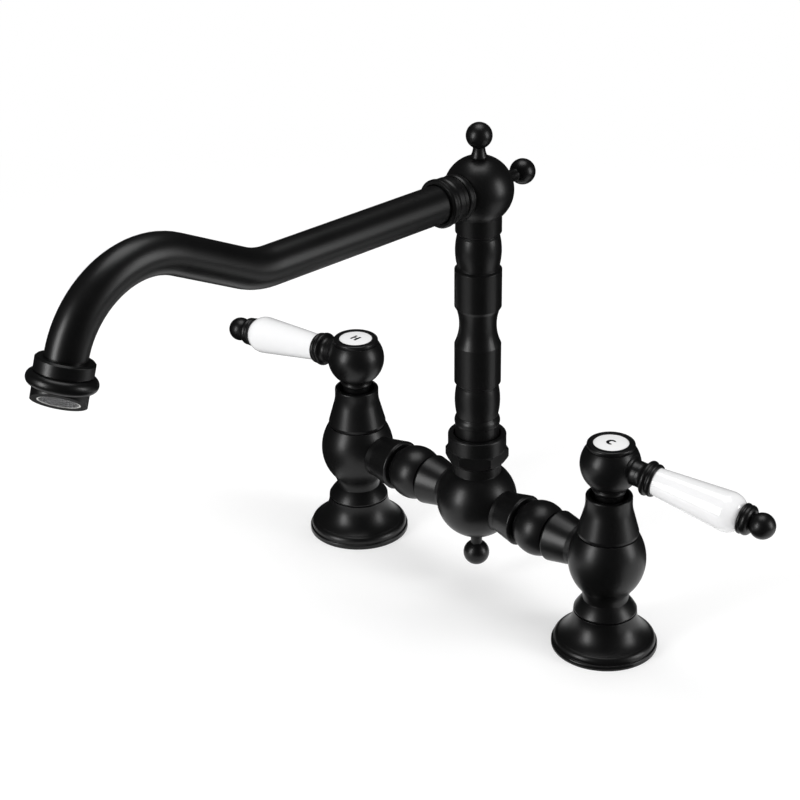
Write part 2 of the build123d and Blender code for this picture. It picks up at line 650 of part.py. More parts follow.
                Polyline(
                    (0, skirt_foot),
                    (SPINDLE_RADIUS + SEAT_GAP, skirt_foot),
                    (SPINDLE_RADIUS + SEAT_GAP, spindle_top + SEAT_GAP),
                    (SCREW_RADIUS + SEAT_GAP, spindle_top + SEAT_GAP),
                    (SCREW_RADIUS + SEAT_GAP, screw_seat),
                    (SCREW_HEAD_RADIUS + FREE_GAP, screw_seat),
                    (SCREW_HEAD_RADIUS + FREE_GAP, cap_stem_foot - SEAT_GAP),
                    (CAP_STEM_RADIUS + SEAT_GAP, cap_stem_foot - SEAT_GAP),
                    (CAP_STEM_RADIUS + SEAT_GAP, knob_top),
                    (0, knob_top),
                    (0, skirt_foot),
                )
            make_face()
        revolve(axis=axis, mode=Mode.SUBTRACT)
        with BuildSketch(lever_mouth.offset(ROD_IN_HUB - SEAT_GAP)):
            Circle(ROD_RADIUS + SEAT_GAP)
        extrude(amount=knuckle_reach, mode=Mode.SUBTRACT)
    handle_hub.part.label = f"{side}_handle_hub"
    export_step(handle_hub.part, f"parts/{side}_handle_hub.step")

    # Socket screw that holds the hub on the spindle.
    with BuildPart() as handle_screw:
        with BuildSketch(Plane(origin=(pillar_x, 0, screw_seat))):
            Circle(SCREW_HEAD_RADIUS)
        extrude(amount=SCREW_HEAD_HEIGHT)
        with BuildSketch(Plane(origin=(pillar_x, 0, screw_seat))):
            Circle(SCREW_RADIUS)
        extrude(amount=-SCREW_LENGTH)
        with BuildSketch(Plane(origin=(pillar_x, 0, screw_seat + SCREW_HEAD_HEIGHT))):
            RegularPolygon(SCREW_SOCKET / 2, 6, major_radius=False)
        extrude(amount=-SCREW_HEAD_HEIGHT / 2, mode=Mode.SUBTRACT)
    handle_screw.part.label = f"{side}_handle_screw"
    export_step(handle_screw.part, f"parts/{side}_handle_screw.step")

    # Ring cap screwed into the top of the hub: it frames the index button.
    cap_top = knob_top + CAP_HEIGHT
    with BuildPart() as index_cap:
        with BuildSketch(section):
            with BuildLine():
                Polyline(
                    (0, cap_stem_foot),
                    (CAP_STEM_RADIUS, cap_stem_foot),
                    (CAP_STEM_RADIUS, knob_top),
                    (CAP_RADIUS - CAP_NOTCH, knob_top),
                    (CAP_RADIUS, knob_top + CAP_NOTCH),
                    (CAP_RADIUS, cap_top),
                    (BUTTON_RADIUS + SEAT_GAP, cap_top),
                    (BUTTON_RADIUS + SEAT_GAP, knob_top + CAP_FLOOR),
                    (0, knob_top + CAP_FLOOR),
                    (0, cap_stem_foot),
                )
            make_face()
        revolve(axis=axis)
        with BuildSketch(Plane(origin=(pillar_x, 0, cap_stem_foot))):
            Circle(CAP_STEM_RADIUS - SLEEVE_WALL)
        extrude(amount=CAP_STEM_LENGTH - CAP_FLOOR, mode=Mode.SUBTRACT)
        rim_edges = index_cap.edges().filter_by(GeomType.CIRCLE).group_by(Axis.Z)[-1]
        fillet(rim_edges.sort_by(SortBy.RADIUS)[-1], CAP_ROUND)
    index_cap.part.label = f"{side}_index_cap"
    export_step(index_cap.part, f"parts/{side}_index_cap.step")

    # Slightly domed index button.
    with BuildPart() as index_button:
        with BuildSketch(section):
            with BuildLine():
                button_foot = knob_top + CAP_FLOOR
                button_edge = cap_top - CAP_FLOOR / 2
                Polyline(
                    (0, button_edge + BUTTON_DOME),
                    (0, button_foot),
                    (BUTTON_RADIUS, button_foot),
                    (BUTTON_RADIUS, button_edge),
                )
                TangentArc(
                    (0, button_edge + BUTTON_DOME), (BUTTON_RADIUS, button_edge), tangent=(1, 0)
                )
            make_face()
        revolve(axis=axis)
    index_button.part.label = f"{side}_index_button"
    export_step(index_button.part, f"parts/{side}_index_button.step")

    # Distances along the lever, from the pillar axis outwards.
    bead_start = knuckle_reach + COLLAR_NECK
    bead_end = bead_start + COLLAR_BEAD_LENGTH
    cup_start = bead_end + COLLAR_GROOVE
    collar_end = cup_start + COLLAR_CUP_LENGTH
    grip_start = collar_end - CUP_OVERLAP
    taper_end = grip_start + GRIP_TAPER_LENGTH
    grip_end = taper_end + GRIP_END_LENGTH
    ferrule_start = grip_end - CUP_OVERLAP
    ball_centre = ferrule_start + BALL_END_REACH

    # Radii of the collar and the ferrule, from the grip outwards.
    collar_lip = GRIP_INNER_RADIUS + 2 * SEAT_GAP + COLLAR_LIP_WALL
    collar_groove = collar_lip + COLLAR_GROOVE_PROUD
    ferrule_edge = GRIP_END_RADIUS + SEAT_GAP + FERRULE_WALL
    ferrule_groove = ferrule_edge + FERRULE_GROOVE_PROUD
    ferrule_end_radius = ferrule_edge - FERRULE_END_INSET
    grip_bore = ROD_RADIUS + FREE_GAP

    # Turned collar between the hub and the grip.
    with BuildPart() as lever_collar:
        with BuildSketch(lever_section):
            with BuildLine():
                neck_end = knuckle_reach + COLLAR_NECK_STRAIGHT
                Polyline(
                    (neck_end, COLLAR_NECK_RADIUS),
                    (knuckle_reach, COLLAR_NECK_RADIUS),
                    (knuckle_reach, ROD_RADIUS + SEAT_GAP),
                    (grip_start, ROD_RADIUS + SEAT_GAP),
                    (grip_start, GRIP_INNER_RADIUS + SEAT_GAP),
                    (collar_end, GRIP_INNER_RADIUS + 2 * SEAT_GAP),
                    (collar_end, collar_lip),
                )
                ThreePointArc(
                    (collar_end, collar_lip),
                    ((cup_start + collar_end) / 2, collar_lip + COLLAR_CUP_PROUD),
                    (cup_start, collar_groove),
                )
                Line((cup_start, collar_groove), (bead_end, collar_groove))
                TangentArc(
                    (neck_end, COLLAR_NECK_RADIUS),
                    (bead_start, collar_lip + COLLAR_DISH_PROUD),
                    tangent=(1, 0),
                )
                ThreePointArc(
                    (bead_start, collar_lip + COLLAR_DISH_PROUD),
                    ((bead_start + bead_end) / 2, collar_lip + COLLAR_BEAD_PROUD),
                    (bead_end, collar_groove),
                )
            make_face()
        revolve(axis=lever_axis)
    lever_collar.part.label = f"{side}_lever_collar"
    export_step(lever_collar.part, f"parts/{side}_lever_collar.step")

    # Threaded rod that clamps the grip between the collar and the ball end.
    with BuildPart() as lever_rod:
        with BuildSketch(lever_mouth.offset(ROD_IN_HUB)):
            Circle(ROD_RADIUS)
        extrude(amount=ferrule_start + ROD_IN_BALL - ROD_IN_HUB)
    lever_rod.part.label = f"{side}_lever_rod"
    export_step(lever_rod.part, f"parts/{side}_lever_rod.step")

    # Glazed grip, wider towards its rounded outer end.
    with BuildPart() as lever_grip:
        with BuildSketch(lever_section):
            with BuildLine():
                taper = atan((GRIP_OUTER_RADIUS - GRIP_INNER_RADIUS) / GRIP_TAPER_LENGTH)
                Polyline(
                    (taper_end, GRIP_OUTER_RADIUS),
                    (collar_end, GRIP_INNER_RADIUS),
                    (grip_start, GRIP_INNER_RADIUS),
                    (grip_start, grip_bore),
                    (grip_end, grip_bore),
                    (grip_end, GRIP_END_RADIUS),
                    (ferrule_start, GRIP_END_RADIUS),
                )
                TangentArc(
                    (taper_end, GRIP_OUTER_RADIUS),
                    (ferrule_start, GRIP_END_RADIUS),
                    tangent=(cos(taper), sin(taper)),
                )
            make_face()
        revolve(axis=lever_axis)
    lever_grip.part.label = f"{side}_lever_grip"
    export_step(lever_grip.part, f"parts/{side}_lever_grip.step")

    # Ball end with the ferrule that holds the grip's outer end.
    with BuildPart() as lever_ball:
        with BuildSketch(lever_section):
            with BuildLine():
                rod_end = ferrule_start + ROD_IN_BALL + SEAT_GAP
                neck_end = ball_centre - chord(BALL_END_RADIUS, FERRULE_NECK_RADIUS)
                ferrule_end = ferrule_start + FERRULE_LENGTH
                Polyline(
                    (ball_centre + BALL_END_RADIUS, 0),
                    (rod_end, 0),
                    (rod_end, ROD_RADIUS + SEAT_GAP),
                    (grip_end + SEAT_GAP, ROD_RADIUS + SEAT_GAP),
                    (grip_end + SEAT_GAP, GRIP_END_RADIUS + SEAT_GAP),
                    (ferrule_start + SEAT_GAP, GRIP_END_RADIUS + SEAT_GAP),
                    (ferrule_start + SEAT_GAP, ferrule_edge),
                )
                rim_end = ferrule_start + FERRULE_RIM
                ThreePointArc(
                    (ferrule_start + SEAT_GAP, ferrule_edge),
                    ((ferrule_start + rim_end) / 2, ferrule_edge + FERRULE_PROUD),
                    (rim_end, ferrule_groove),
                )
                ThreePointArc(
                    (rim_end, ferrule_groove),
                    ((rim_end + ferrule_end) / 2, ferrule_edge + FERRULE_BODY_PROUD),
                    (ferrule_end, ferrule_end_radius),
                )
                Polyline(
                    (ferrule_end, ferrule_end_radius),
                    (ferrule_end, FERRULE_NECK_RADIUS),
                    (neck_end, FERRULE_NECK_RADIUS),
                )
                ball_angle = degrees(acos(chord(BALL_END_RADIUS, FERRULE_NECK_RADIUS) / BALL_END_RADIUS))
                CenterArc((ball_centre, 0), BALL_END_RADIUS, 0, 180 - ball_angle)
            make_face()
        revolve(axis=lever_axis)
    lever_ball.part.label = f"{side}_lever_ball"
    export_step(lever_ball.part, f"parts/{side}_lever_ball.step")

    # Turned arm from the pillar's bulb to the tee, with a round bead in the middle.
    arm_middle = pillar_x / 2
    tee_end = -inward * tee_seat
    bulb_end = pillar_x + inward * bulb_seat
    with BuildPart() as bridge_arm:
        arm_section = Plane(origin=(0, 0, BRIDGE_HEIGHT), x_dir=(1, 0, 0), z_dir=(0, -1, 0))
        with BuildSketch(arm_section):
            with BuildLine():
                groove_edge = chord(ARM_BEAD_RADIUS, ARM_BEAD_HALF)
                for end, way in ((tee_end, inward), (bulb_end, -inward)):
                    bead_edge = arm_middle + way * ARM_BEAD_HALF
                    flank_edge = bead_edge + way * ARM_GROOVE
                    spigot_end = end + way * spigot_length
                    seal_far = end + way * (spigot_length + ORING_GROOVE_WIDTH) / 2
                    seal_near = end + way * (spigot_length - ORING_GROOVE_WIDTH) / 2
                    Polyline(
                        (arm_middle, WATERWAY_RADIUS),
                        (spigot_end, WATERWAY_RADIUS),
                        (spigot_end, SPIGOT_RADIUS),
                        (seal_far, SPIGOT_RADIUS),
                        (seal_far, oring_groove_radius),
                        (seal_near, oring_groove_radius),
                        (seal_near, SPIGOT_RADIUS),
                        (end, SPIGOT_RADIUS),
                        (end, ARM_END_RADIUS),
                        (end - way * ARM_STRAIGHT, ARM_END_RADIUS),
                        (flank_edge + way * ARM_FLANK_ROUND, ARM_FLANK_RADIUS),
                    )
                    TangentArc(
                        (flank_edge + way * ARM_FLANK_ROUND, ARM_FLANK_RADIUS),
                        (flank_edge, ARM_FLANK_RADIUS - ARM_FLANK_ROUND),
                        tangent=(-way, 0),
                    )
                    Polyline(
                        (flank_edge, ARM_FLANK_RADIUS - ARM_FLANK_ROUND),
                        (flank_edge, ARM_GROOVE_RADIUS),
                        (bead_edge, ARM_GROOVE_RADIUS),
                        (bead_edge, groove_edge),
                    )
                ThreePointArc(
                    (arm_middle - ARM_BEAD_HALF, groove_edge),
                    (arm_middle, ARM_BEAD_RADIUS),
                    (arm_middle + ARM_BEAD_HALF, groove_edge),
                )
            make_face()
        revolve(axis=Axis((0, 0, BRIDGE_HEIGHT), (1, 0, 0)))
    bridge_arm.part.label = f"{side}_bridge_arm"
    export_step(bridge_arm.part, f"parts/{side}_bridge_arm.step")


# ================================================================ middle of the bridge
# O-rings on the four spigots of the two arms.
seal_offset = spigot_length / 2
with BuildPart() as bridge_arm_seals:
    for pillar_side in (-1, 1):
        for seal_x in (
            pillar_side * (tee_seat - seal_offset),
            pillar_side * (TAP_CENTRES / 2 - bulb_seat + seal_offset),
        ):
            seal_section = Plane(
                origin=(seal_x, 0, BRIDGE_HEIGHT), x_dir=(1, 0, 0), z_dir=(0, -1, 0)
            )
            with BuildSketch(seal_section):
                with Locations((0, oring_ring_radius)):
                    Circle(ORING_SECTION)
            revolve(axis=Axis((0, 0, BRIDGE_HEIGHT), (1, 0, 0)))
bridge_arm_seals.part.label = "bridge_arm_seals"
export_step(bridge_arm_seals.part, "parts/bridge_arm_seals.step")

# Radii of the swivel, from the column's spigot outwards.
tee_bore = COLUMN_SPIGOT_RADIUS + RUNNING_GAP
tee_thread_radius = tee_bore + TEE_NECK_WALL
tee_neck_radius = tee_thread_radius + TEE_NECK_STEP
nut_flat_radius = tee_thread_radius + SEAT_GAP + NUT_WALL
nut_foot_radius = tee_neck_radius + NUT_FOOT_STEP
nut_ring_radius = nut_flat_radius + NUT_RING_STEP
nut_mouth_radius = COLUMN_FOOT_RADIUS + NUT_MOUTH_GAP
split_ring_radius = COLUMN_SPIGOT_RADIUS + SPLIT_RING_PROUD

# Heights of the swivel, from the union nut's foot up and from its lip down.
tee_centre = BRIDGE_HEIGHT + TEE_RISE
tee_neck_top = tee_centre + TEE_RADIUS + TEE_NECK_RISE
nut_foot = tee_neck_top + SEAT_GAP
nut_hex_top = nut_foot + NUT_HEX_HEIGHT
nut_top = nut_hex_top + NUT_RING_HEIGHT
nut_mouth_floor = nut_top - NUT_MOUTH_DEPTH
nut_lip_foot = nut_mouth_floor - NUT_LIP_THICKNESS
split_ring_top = nut_lip_foot - FREE_GAP
split_ring_foot = split_ring_top - SPLIT_RING_THICKNESS
tee_top = split_ring_foot - FREE_GAP - GLIDE_THICKNESS
tee_socket_floor = BRIDGE_HEIGHT + socket_radius + TEE_WEB
tee_bottom = tee_centre - TEE_RADIUS
centre_section = upright_section(0)
centre_axis = upright_axis(0)

# Hollow ball where the two arms meet, with the threaded neck that the column turns in.
with BuildPart() as tee_body:
    with BuildSketch(centre_section):
        with BuildLine():
            neck_angle = degrees(acos(tee_neck_radius / TEE_RADIUS))
            CenterArc((0, tee_centre), TEE_RADIUS, -90, 90 + neck_angle)
            Polyline(
                (tee_neck_radius, tee_centre + chord(TEE_RADIUS, tee_neck_radius)),
                (tee_neck_radius, tee_neck_top),
                (tee_thread_radius, tee_neck_top),
                (tee_thread_radius, tee_top),
                (0, tee_top),
                (0, tee_bottom),
            )
        make_face()
    revolve(axis=centre_axis)
    with BuildSketch(centre_section):
        with BuildLine():
            cavity_floor = BRIDGE_HEIGHT - TEE_CAVITY_FLOOR
            Polyline(
                (0, cavity_floor),
                (TEE_CAVITY_RADIUS, cavity_floor),
                (TEE_CAVITY_RADIUS, tee_socket_floor),
                (tee_bore, tee_socket_floor),
                (tee_bore, tee_top),
                (0, tee_top),
                (0, cavity_floor),
            )
        make_face()
    revolve(axis=centre_axis, mode=Mode.SUBTRACT)
    for way in (-1, 1):
        arm_mouth = Plane(origin=(way * tee_seat, 0, BRIDGE_HEIGHT), z_dir=(way, 0, 0))
        with BuildSketch(arm_mouth):
            Circle(ARM_END_RADIUS + SEAT_GAP)
        extrude(amount=TEE_RADIUS - tee_seat, mode=Mode.SUBTRACT)
        with BuildSketch(arm_mouth):
            Circle(socket_radius)
        extrude(amount=-spigot_length - SEAT_GAP, mode=Mode.SUBTRACT)
        with BuildSketch(arm_mouth):
            Circle(WATERWAY_RADIUS)
        extrude(amount=-tee_seat, mode=Mode.SUBTRACT)
    with BuildSketch(Plane(origin=(0, 0, tee_bottom))):
        Circle(FINIAL_STUD_RADIUS + SEAT_GAP)
    extrude(amount=FINIAL_STUD_LENGTH + 2 * SEAT_GAP, mode=Mode.SUBTRACT)
    with BuildSketch(Plane(origin=(0, 0, tee_bottom))):
        Circle(FINIAL_STEM_RADIUS + SEAT_GAP)
    extrude(amount=TEE_RADIUS - chord(TEE_RADIUS, FINIAL_STEM_RADIUS + SEAT_GAP), mode=Mode.SUBTRACT)
tee_body.part.label = "tee_body"
export_step(tee_body.part, "parts/tee_body.step")

# Ball finial screwed into the bottom of the tee.
lower_ball = tee_bottom - LOWER_FINIAL_STANDOFF
stem_top = tee_centre - chord(TEE_RADIUS, FINIAL_STEM_RADIUS + SEAT_GAP) - SEAT_GAP
with BuildPart() as lower_finial:
    with BuildSketch(centre_section):
        with BuildLine():
            stem_angle = degrees(acos(FINIAL_STEM_RADIUS / LOWER_FINIAL_RADIUS))
            CenterArc((0, lower_ball), LOWER_FINIAL_RADIUS, -90, 90 + stem_angle)
            Polyline(
                (FINIAL_STEM_RADIUS, lower_ball + chord(LOWER_FINIAL_RADIUS, FINIAL_STEM_RADIUS)),
                (FINIAL_STEM_RADIUS, stem_top),
                (FINIAL_STUD_RADIUS, stem_top),
                (FINIAL_STUD_RADIUS, tee_bottom + FINIAL_STUD_LENGTH),
                (0, tee_bottom + FINIAL_STUD_LENGTH),
                (0, lower_ball - LOWER_FINIAL_RADIUS),
            )
        make_face()
    revolve(axis=centre_axis)
lower_finial.part.label = "lower_finial"
export_step(lower_finial.part, "parts/lower_finial.step")

# Union nut: a round ring above a hexagon. It traps the column's split ring.
with BuildPart() as union_nut:
    with BuildSketch(Plane(origin=(0, 0, nut_foot))):
        RegularPolygon(nut_flat_radius, 6, major_radius=False, rotation=NUT_TURN)
    extrude(amount=NUT_HEX_HEIGHT)
    with BuildSketch(centre_section):
        with BuildLine():
            corner_radius = 2 * nut_flat_radius / sqrt(3)
            bevel_rise = (corner_radius - nut_ring_radius) * tan(radians(NUT_BEVEL))
            Polyline(
                (0, nut_foot),
                (nut_foot_radius, nut_foot),
                (corner_radius, nut_foot + corner_radius - nut_foot_radius),
                (corner_radius, nut_hex_top - bevel_rise),
                (nut_ring_radius, nut_hex_top),
                (0, nut_hex_top),
                (0, nut_foot),
            )
        make_face()
    revolve(axis=centre_axis, mode=Mode.INTERSECT)
    with BuildSketch(Plane(origin=(0, 0, nut_hex_top))):
        Circle(nut_ring_radius)
    extrude(amount=NUT_RING_HEIGHT)
    ring_edges = union_nut.edges().filter_by(GeomType.CIRCLE).group_by(Axis.Z)[-1]
    fillet(ring_edges, NUT_RING_ROUND)
    with BuildSketch(centre_section):
        with BuildLine():
            Polyline(
                (0, nut_foot),
                (tee_thread_radius + SEAT_GAP, nut_foot),
                (tee_thread_radius + SEAT_GAP, nut_lip_foot),
                (COLUMN_SPIGOT_RADIUS + FREE_GAP, nut_lip_foot),
                (COLUMN_SPIGOT_RADIUS + FREE_GAP, nut_mouth_floor),
                (nut_mouth_radius, nut_mouth_floor),
                (nut_mouth_radius, nut_top - NUT_MOUTH_ROUND),
                (nut_mouth_radius + NUT_MOUTH_ROUND, nut_top),
                (0, nut_top),
                (0, nut_foot),
            )
        make_face()
    revolve(axis=centre_axis, mode=Mode.SUBTRACT)
union_nut.part.label = "union_nut"
export_step(union_nut.part, "parts/union_nut.step")

# Slippery washer on top of the neck: it carries the turning column.
with BuildPart() as glide_washer:
    with BuildSketch(Plane(origin=(0, 0, tee_top))):
        Circle(tee_thread_radius)
        Circle(tee_bore, mode=Mode.SUBTRACT)
    extrude(amount=GLIDE_THICKNESS)
glide_washer.part.label = "glide_washer"
export_step(glide_washer.part, "parts/glide_washer.step")


# ================================================================ the turning spout
spigot_foot = tee_socket_floor + FREE_GAP
foot_start = nut_mouth_floor + FREE_GAP
elbow_foot = SPOUT_HEIGHT - ELBOW_RADIUS - ELBOW_COLLAR_LENGTH
first_seal = spigot_foot + COLUMN_SEAL_FOOT
seal_heights = [first_seal, first_seal + COLUMN_SEAL_SPACING]
column_bore_radius = SPIGOT_RADIUS - COLUMN_SPIGOT_WALL
seal_groove_radius = COLUMN_SPIGOT_RADIUS - 2 * ORING_SECTION - SEAT_GAP

# Heights of the turned mouldings, from the foot up. The waist takes what is left.
foot_bead_foot = foot_start + COLUMN_FOOT_HEIGHT
foot_bead_top = foot_bead_foot + FOOT_BEAD_HEIGHT
lower_barrel_foot = foot_bead_top + FOOT_GROOVE
lower_barrel_top = lower_barrel_foot + LOWER_BARREL_HEIGHT
lower_drum_foot = lower_barrel_top + COLUMN_GROOVE
lower_drum_top = lower_drum_foot + LOWER_DRUM_HEIGHT
upper_barrel_top = elbow_foot - COLUMN_GROOVE
upper_barrel_foot = upper_barrel_top - UPPER_BARREL_HEIGHT
upper_drum_top = upper_barrel_foot - COLUMN_GROOVE
upper_drum_foot = upper_drum_top - UPPER_DRUM_HEIGHT
waist_top = upper_drum_foot - DRUM_CHAMFER_RISE
waist_narrowest = lower_drum_top + (waist_top - lower_drum_top) * WAIST_NARROWEST

# Turned column: a hollow baluster with a spigot at each end.
with BuildPart() as spout_column:
    with BuildSketch(centre_section):
        with BuildLine():
            split_groove = COLUMN_SPIGOT_RADIUS - SPLIT_RING_GROOVE_DEPTH
            spigot_points = [(COLUMN_SPIGOT_RADIUS, spigot_foot)]
            for height in seal_heights:
                spigot_points += [
                    (COLUMN_SPIGOT_RADIUS, height - ORING_GROOVE_WIDTH / 2),
                    (seal_groove_radius, height - ORING_GROOVE_WIDTH / 2),
                    (seal_groove_radius, height + ORING_GROOVE_WIDTH / 2),
                    (COLUMN_SPIGOT_RADIUS, height + ORING_GROOVE_WIDTH / 2),
                ]
            Polyline(
                (column_bore_radius - SEAT_GAP, elbow_foot + ELBOW_SPIGOT_LENGTH),
                (column_bore_radius - SEAT_GAP, foot_start),
                (seal_groove_radius - CARTRIDGE_WALL, foot_start),
                (seal_groove_radius - CARTRIDGE_WALL, spigot_foot),
                *spigot_points,
                (COLUMN_SPIGOT_RADIUS, split_ring_foot - SEAT_GAP),
                (split_groove, split_ring_foot - SEAT_GAP),
                (split_groove, split_ring_top + SEAT_GAP),
                (COLUMN_SPIGOT_RADIUS, split_ring_top + SEAT_GAP),
                (COLUMN_SPIGOT_RADIUS, foot_start),
                (COLUMN_FOOT_RADIUS, foot_start),
                (COLUMN_FOOT_RADIUS, foot_bead_foot),
            )
            ThreePointArc(
                (COLUMN_FOOT_RADIUS, foot_bead_foot),
                (FOOT_BEAD_RADIUS, (foot_bead_foot + foot_bead_top) / 2),
                (COLUMN_GROOVE_RADIUS, foot_bead_top),
            )
            ThreePointArc(
                (COLUMN_GROOVE_RADIUS, foot_bead_top),
                (FOOT_GROOVE_RADIUS, (foot_bead_top + lower_barrel_foot) / 2),
                (COLUMN_GROOVE_RADIUS, lower_barrel_foot),
            )
            ThreePointArc(
                (COLUMN_GROOVE_RADIUS, lower_barrel_foot),
                (LOWER_BARREL_RADIUS, (lower_barrel_foot + lower_barrel_top) / 2),
                (COLUMN_GROOVE_RADIUS, lower_barrel_top),
            )
            Polyline(
                (COLUMN_GROOVE_RADIUS, lower_barrel_top),
                (COLUMN_GROOVE_RADIUS, lower_drum_foot),
                (LOWER_DRUM_RADIUS - DRUM_ROUND, lower_drum_foot),
                (LOWER_DRUM_RADIUS, lower_drum_foot + DRUM_ROUND),
                (LOWER_DRUM_RADIUS, lower_drum_top),
            )
            ThreePointArc(
                (LOWER_DRUM_RADIUS, lower_drum_top),
                (WAIST_RADIUS, waist_narrowest),
                (WAIST_END_RADIUS, waist_top),
            )
            Polyline(
                (WAIST_END_RADIUS, waist_top),
                (UPPER_DRUM_RADIUS, upper_drum_foot),
                (UPPER_DRUM_RADIUS, upper_drum_top - DRUM_ROUND),
                (UPPER_DRUM_RADIUS - DRUM_ROUND, upper_drum_top),
                (COLUMN_GROOVE_RADIUS, upper_drum_top),
                (COLUMN_GROOVE_RADIUS, upper_barrel_foot),
            )
            ThreePointArc(
                (COLUMN_GROOVE_RADIUS, upper_barrel_foot),
                (UPPER_BARREL_RADIUS, (upper_barrel_foot + upper_barrel_top) / 2),
                (COLUMN_GROOVE_RADIUS, upper_barrel_top),
            )
            Polyline(
                (COLUMN_GROOVE_RADIUS, upper_barrel_top),
                (COLUMN_GROOVE_RADIUS, elbow_foot),
                (SPIGOT_RADIUS, elbow_foot),
                (SPIGOT_RADIUS, elbow_foot + ELBOW_SPIGOT_LENGTH),
                (column_bore_radius - SEAT_GAP, elbow_foot + ELBOW_SPIGOT_LENGTH),
            )
        make_face()
    revolve(axis=centre_axis)
spout_column.part.label = "spout_column"
export_step(spout_column.part, "parts/spout_column.step")

# Two O-rings that seal the column in the neck.
with BuildPart() as column_seals:
    with BuildSketch(centre_section):
        for height in seal_heights:
            with Locations((COLUMN_SPIGOT_RADIUS - ORING_SECTION, height)):
                Circle(ORING_SECTION)
    revolve(axis=centre_axis)
column_seals.part.label = "column_seals"
export_step(column_seals.part, "parts/column_seals.step")

# Split ring in the column's groove.
with BuildPart() as split_ring:
    with BuildSketch(Plane(origin=(0, 0, split_ring_foot))):
        Circle(split_ring_radius)
        Circle(COLUMN_SPIGOT_RADIUS - SPLIT_RING_GROOVE_DEPTH + SEAT_GAP, mode=Mode.SUBTRACT)
        with Locations((split_ring_radius / 2, 0)):
            Rectangle(split_ring_radius, SPLIT_RING_GAP, mode=Mode.SUBTRACT)
    extrude(amount=SPLIT_RING_THICKNESS)
split_ring.part.label = "split_ring"
export_step(split_ring.part, "parts/split_ring.step")

# The long run leaves the elbow a little above level.
run = (0, -cos(radians(SPOUT_RISE)), sin(radians(SPOUT_RISE)))
elbow_centre = (0, 0, SPOUT_HEIGHT)
run_section = Plane(origin=elbow_centre, x_dir=run, z_dir=(1, 0, 0))
run_axis = Axis(elbow_centre, run)
run_mouth = Plane(origin=elbow_centre, z_dir=run)

# Distances along the run from the ball's centre, and radii from the tube outwards.
socket_seat = ELBOW_RADIUS - SOCKET_SINK
tube_seat = socket_seat + TUBE_STANDOFF
socket_bore = SPIGOT_RADIUS - SOCKET_SPIGOT_WALL
tube_bore = TUBE_RADIUS + SEAT_GAP
socket_groove = tube_bore + SOCKET_WALL
socket_neck = socket_groove - SOCKET_NECK_INSET
socket_ring = socket_groove + SOCKET_RING_PROUD
socket_band = socket_groove + SOCKET_BAND_PROUD
socket_lip_groove = socket_groove + SOCKET_LIP_GROOVE_PROUD
socket_lip = socket_groove + SOCKET_LIP_PROUD

# Elbow ball with the collar that screws onto the column.
with BuildPart() as spout_elbow:
    with BuildSketch(centre_section):
        with BuildLine():
            collar_angle = degrees(acos(ELBOW_COLLAR_RADIUS / ELBOW_RADIUS))
            Polyline(
                (0, SPOUT_HEIGHT + ELBOW_RADIUS),
                (0, elbow_foot),
                (ELBOW_COLLAR_RADIUS - DRUM_ROUND, elbow_foot),
                (ELBOW_COLLAR_RADIUS, elbow_foot + DRUM_ROUND),
                (ELBOW_COLLAR_RADIUS, SPOUT_HEIGHT - chord(ELBOW_RADIUS, ELBOW_COLLAR_RADIUS)),
            )
            CenterArc((0, SPOUT_HEIGHT), ELBOW_RADIUS, -collar_angle, 90 + collar_angle)
        make_face()
    revolve(axis=centre_axis)
    with BuildSketch(Plane(origin=(0, 0, elbow_foot))):
        Circle(socket_radius)
    extrude(amount=ELBOW_SPIGOT_LENGTH + SEAT_GAP, mode=Mode.SUBTRACT)
    with BuildSketch(Plane(origin=(0, 0, elbow_foot))):
        Circle(column_bore_radius)
    extrude(amount=SPOUT_HEIGHT - elbow_foot, mode=Mode.SUBTRACT)
    with BuildSketch(run_mouth):
        Circle(socket_bore - RUNNING_GAP)
    extrude(amount=socket_seat, mode=Mode.SUBTRACT)
    with BuildSketch(run_mouth.offset(socket_seat)):
        Circle(socket_neck + SEAT_GAP)
    extrude(amount=ELBOW_RADIUS - socket_seat, mode=Mode.SUBTRACT)
    with BuildSketch(run_mouth.offset(socket_seat - SOCKET_SPIGOT - SEAT_GAP)):
        Circle(socket_radius)
    extrude(amount=ELBOW_RADIUS, mode=Mode.SUBTRACT)
    for stud_mouth in (
        Plane(origin=(0, 0, SPOUT_HEIGHT + ELBOW_RADIUS)),
        Plane(origin=(0, ELBOW_RADIUS, SPOUT_HEIGHT), z_dir=(0, 1, 0)),
    ):
        with BuildSketch(stud_mouth):
            Circle(FINIAL_STUD_RADIUS + SEAT_GAP)
        extrude(amount=-FINIAL_STUD_LENGTH - SEAT_GAP, mode=Mode.SUBTRACT)
        with BuildSketch(stud_mouth):
            Circle(FINIAL_FOOT_RADIUS + SEAT_GAP)
        foot_depth = ELBOW_RADIUS - chord(ELBOW_RADIUS, FINIAL_FOOT_RADIUS + SEAT_GAP)
        extrude(amount=-foot_depth, mode=Mode.SUBTRACT)
spout_elbow.part.label = "spout_elbow"
export_step(spout_elbow.part, "parts/spout_elbow.step")

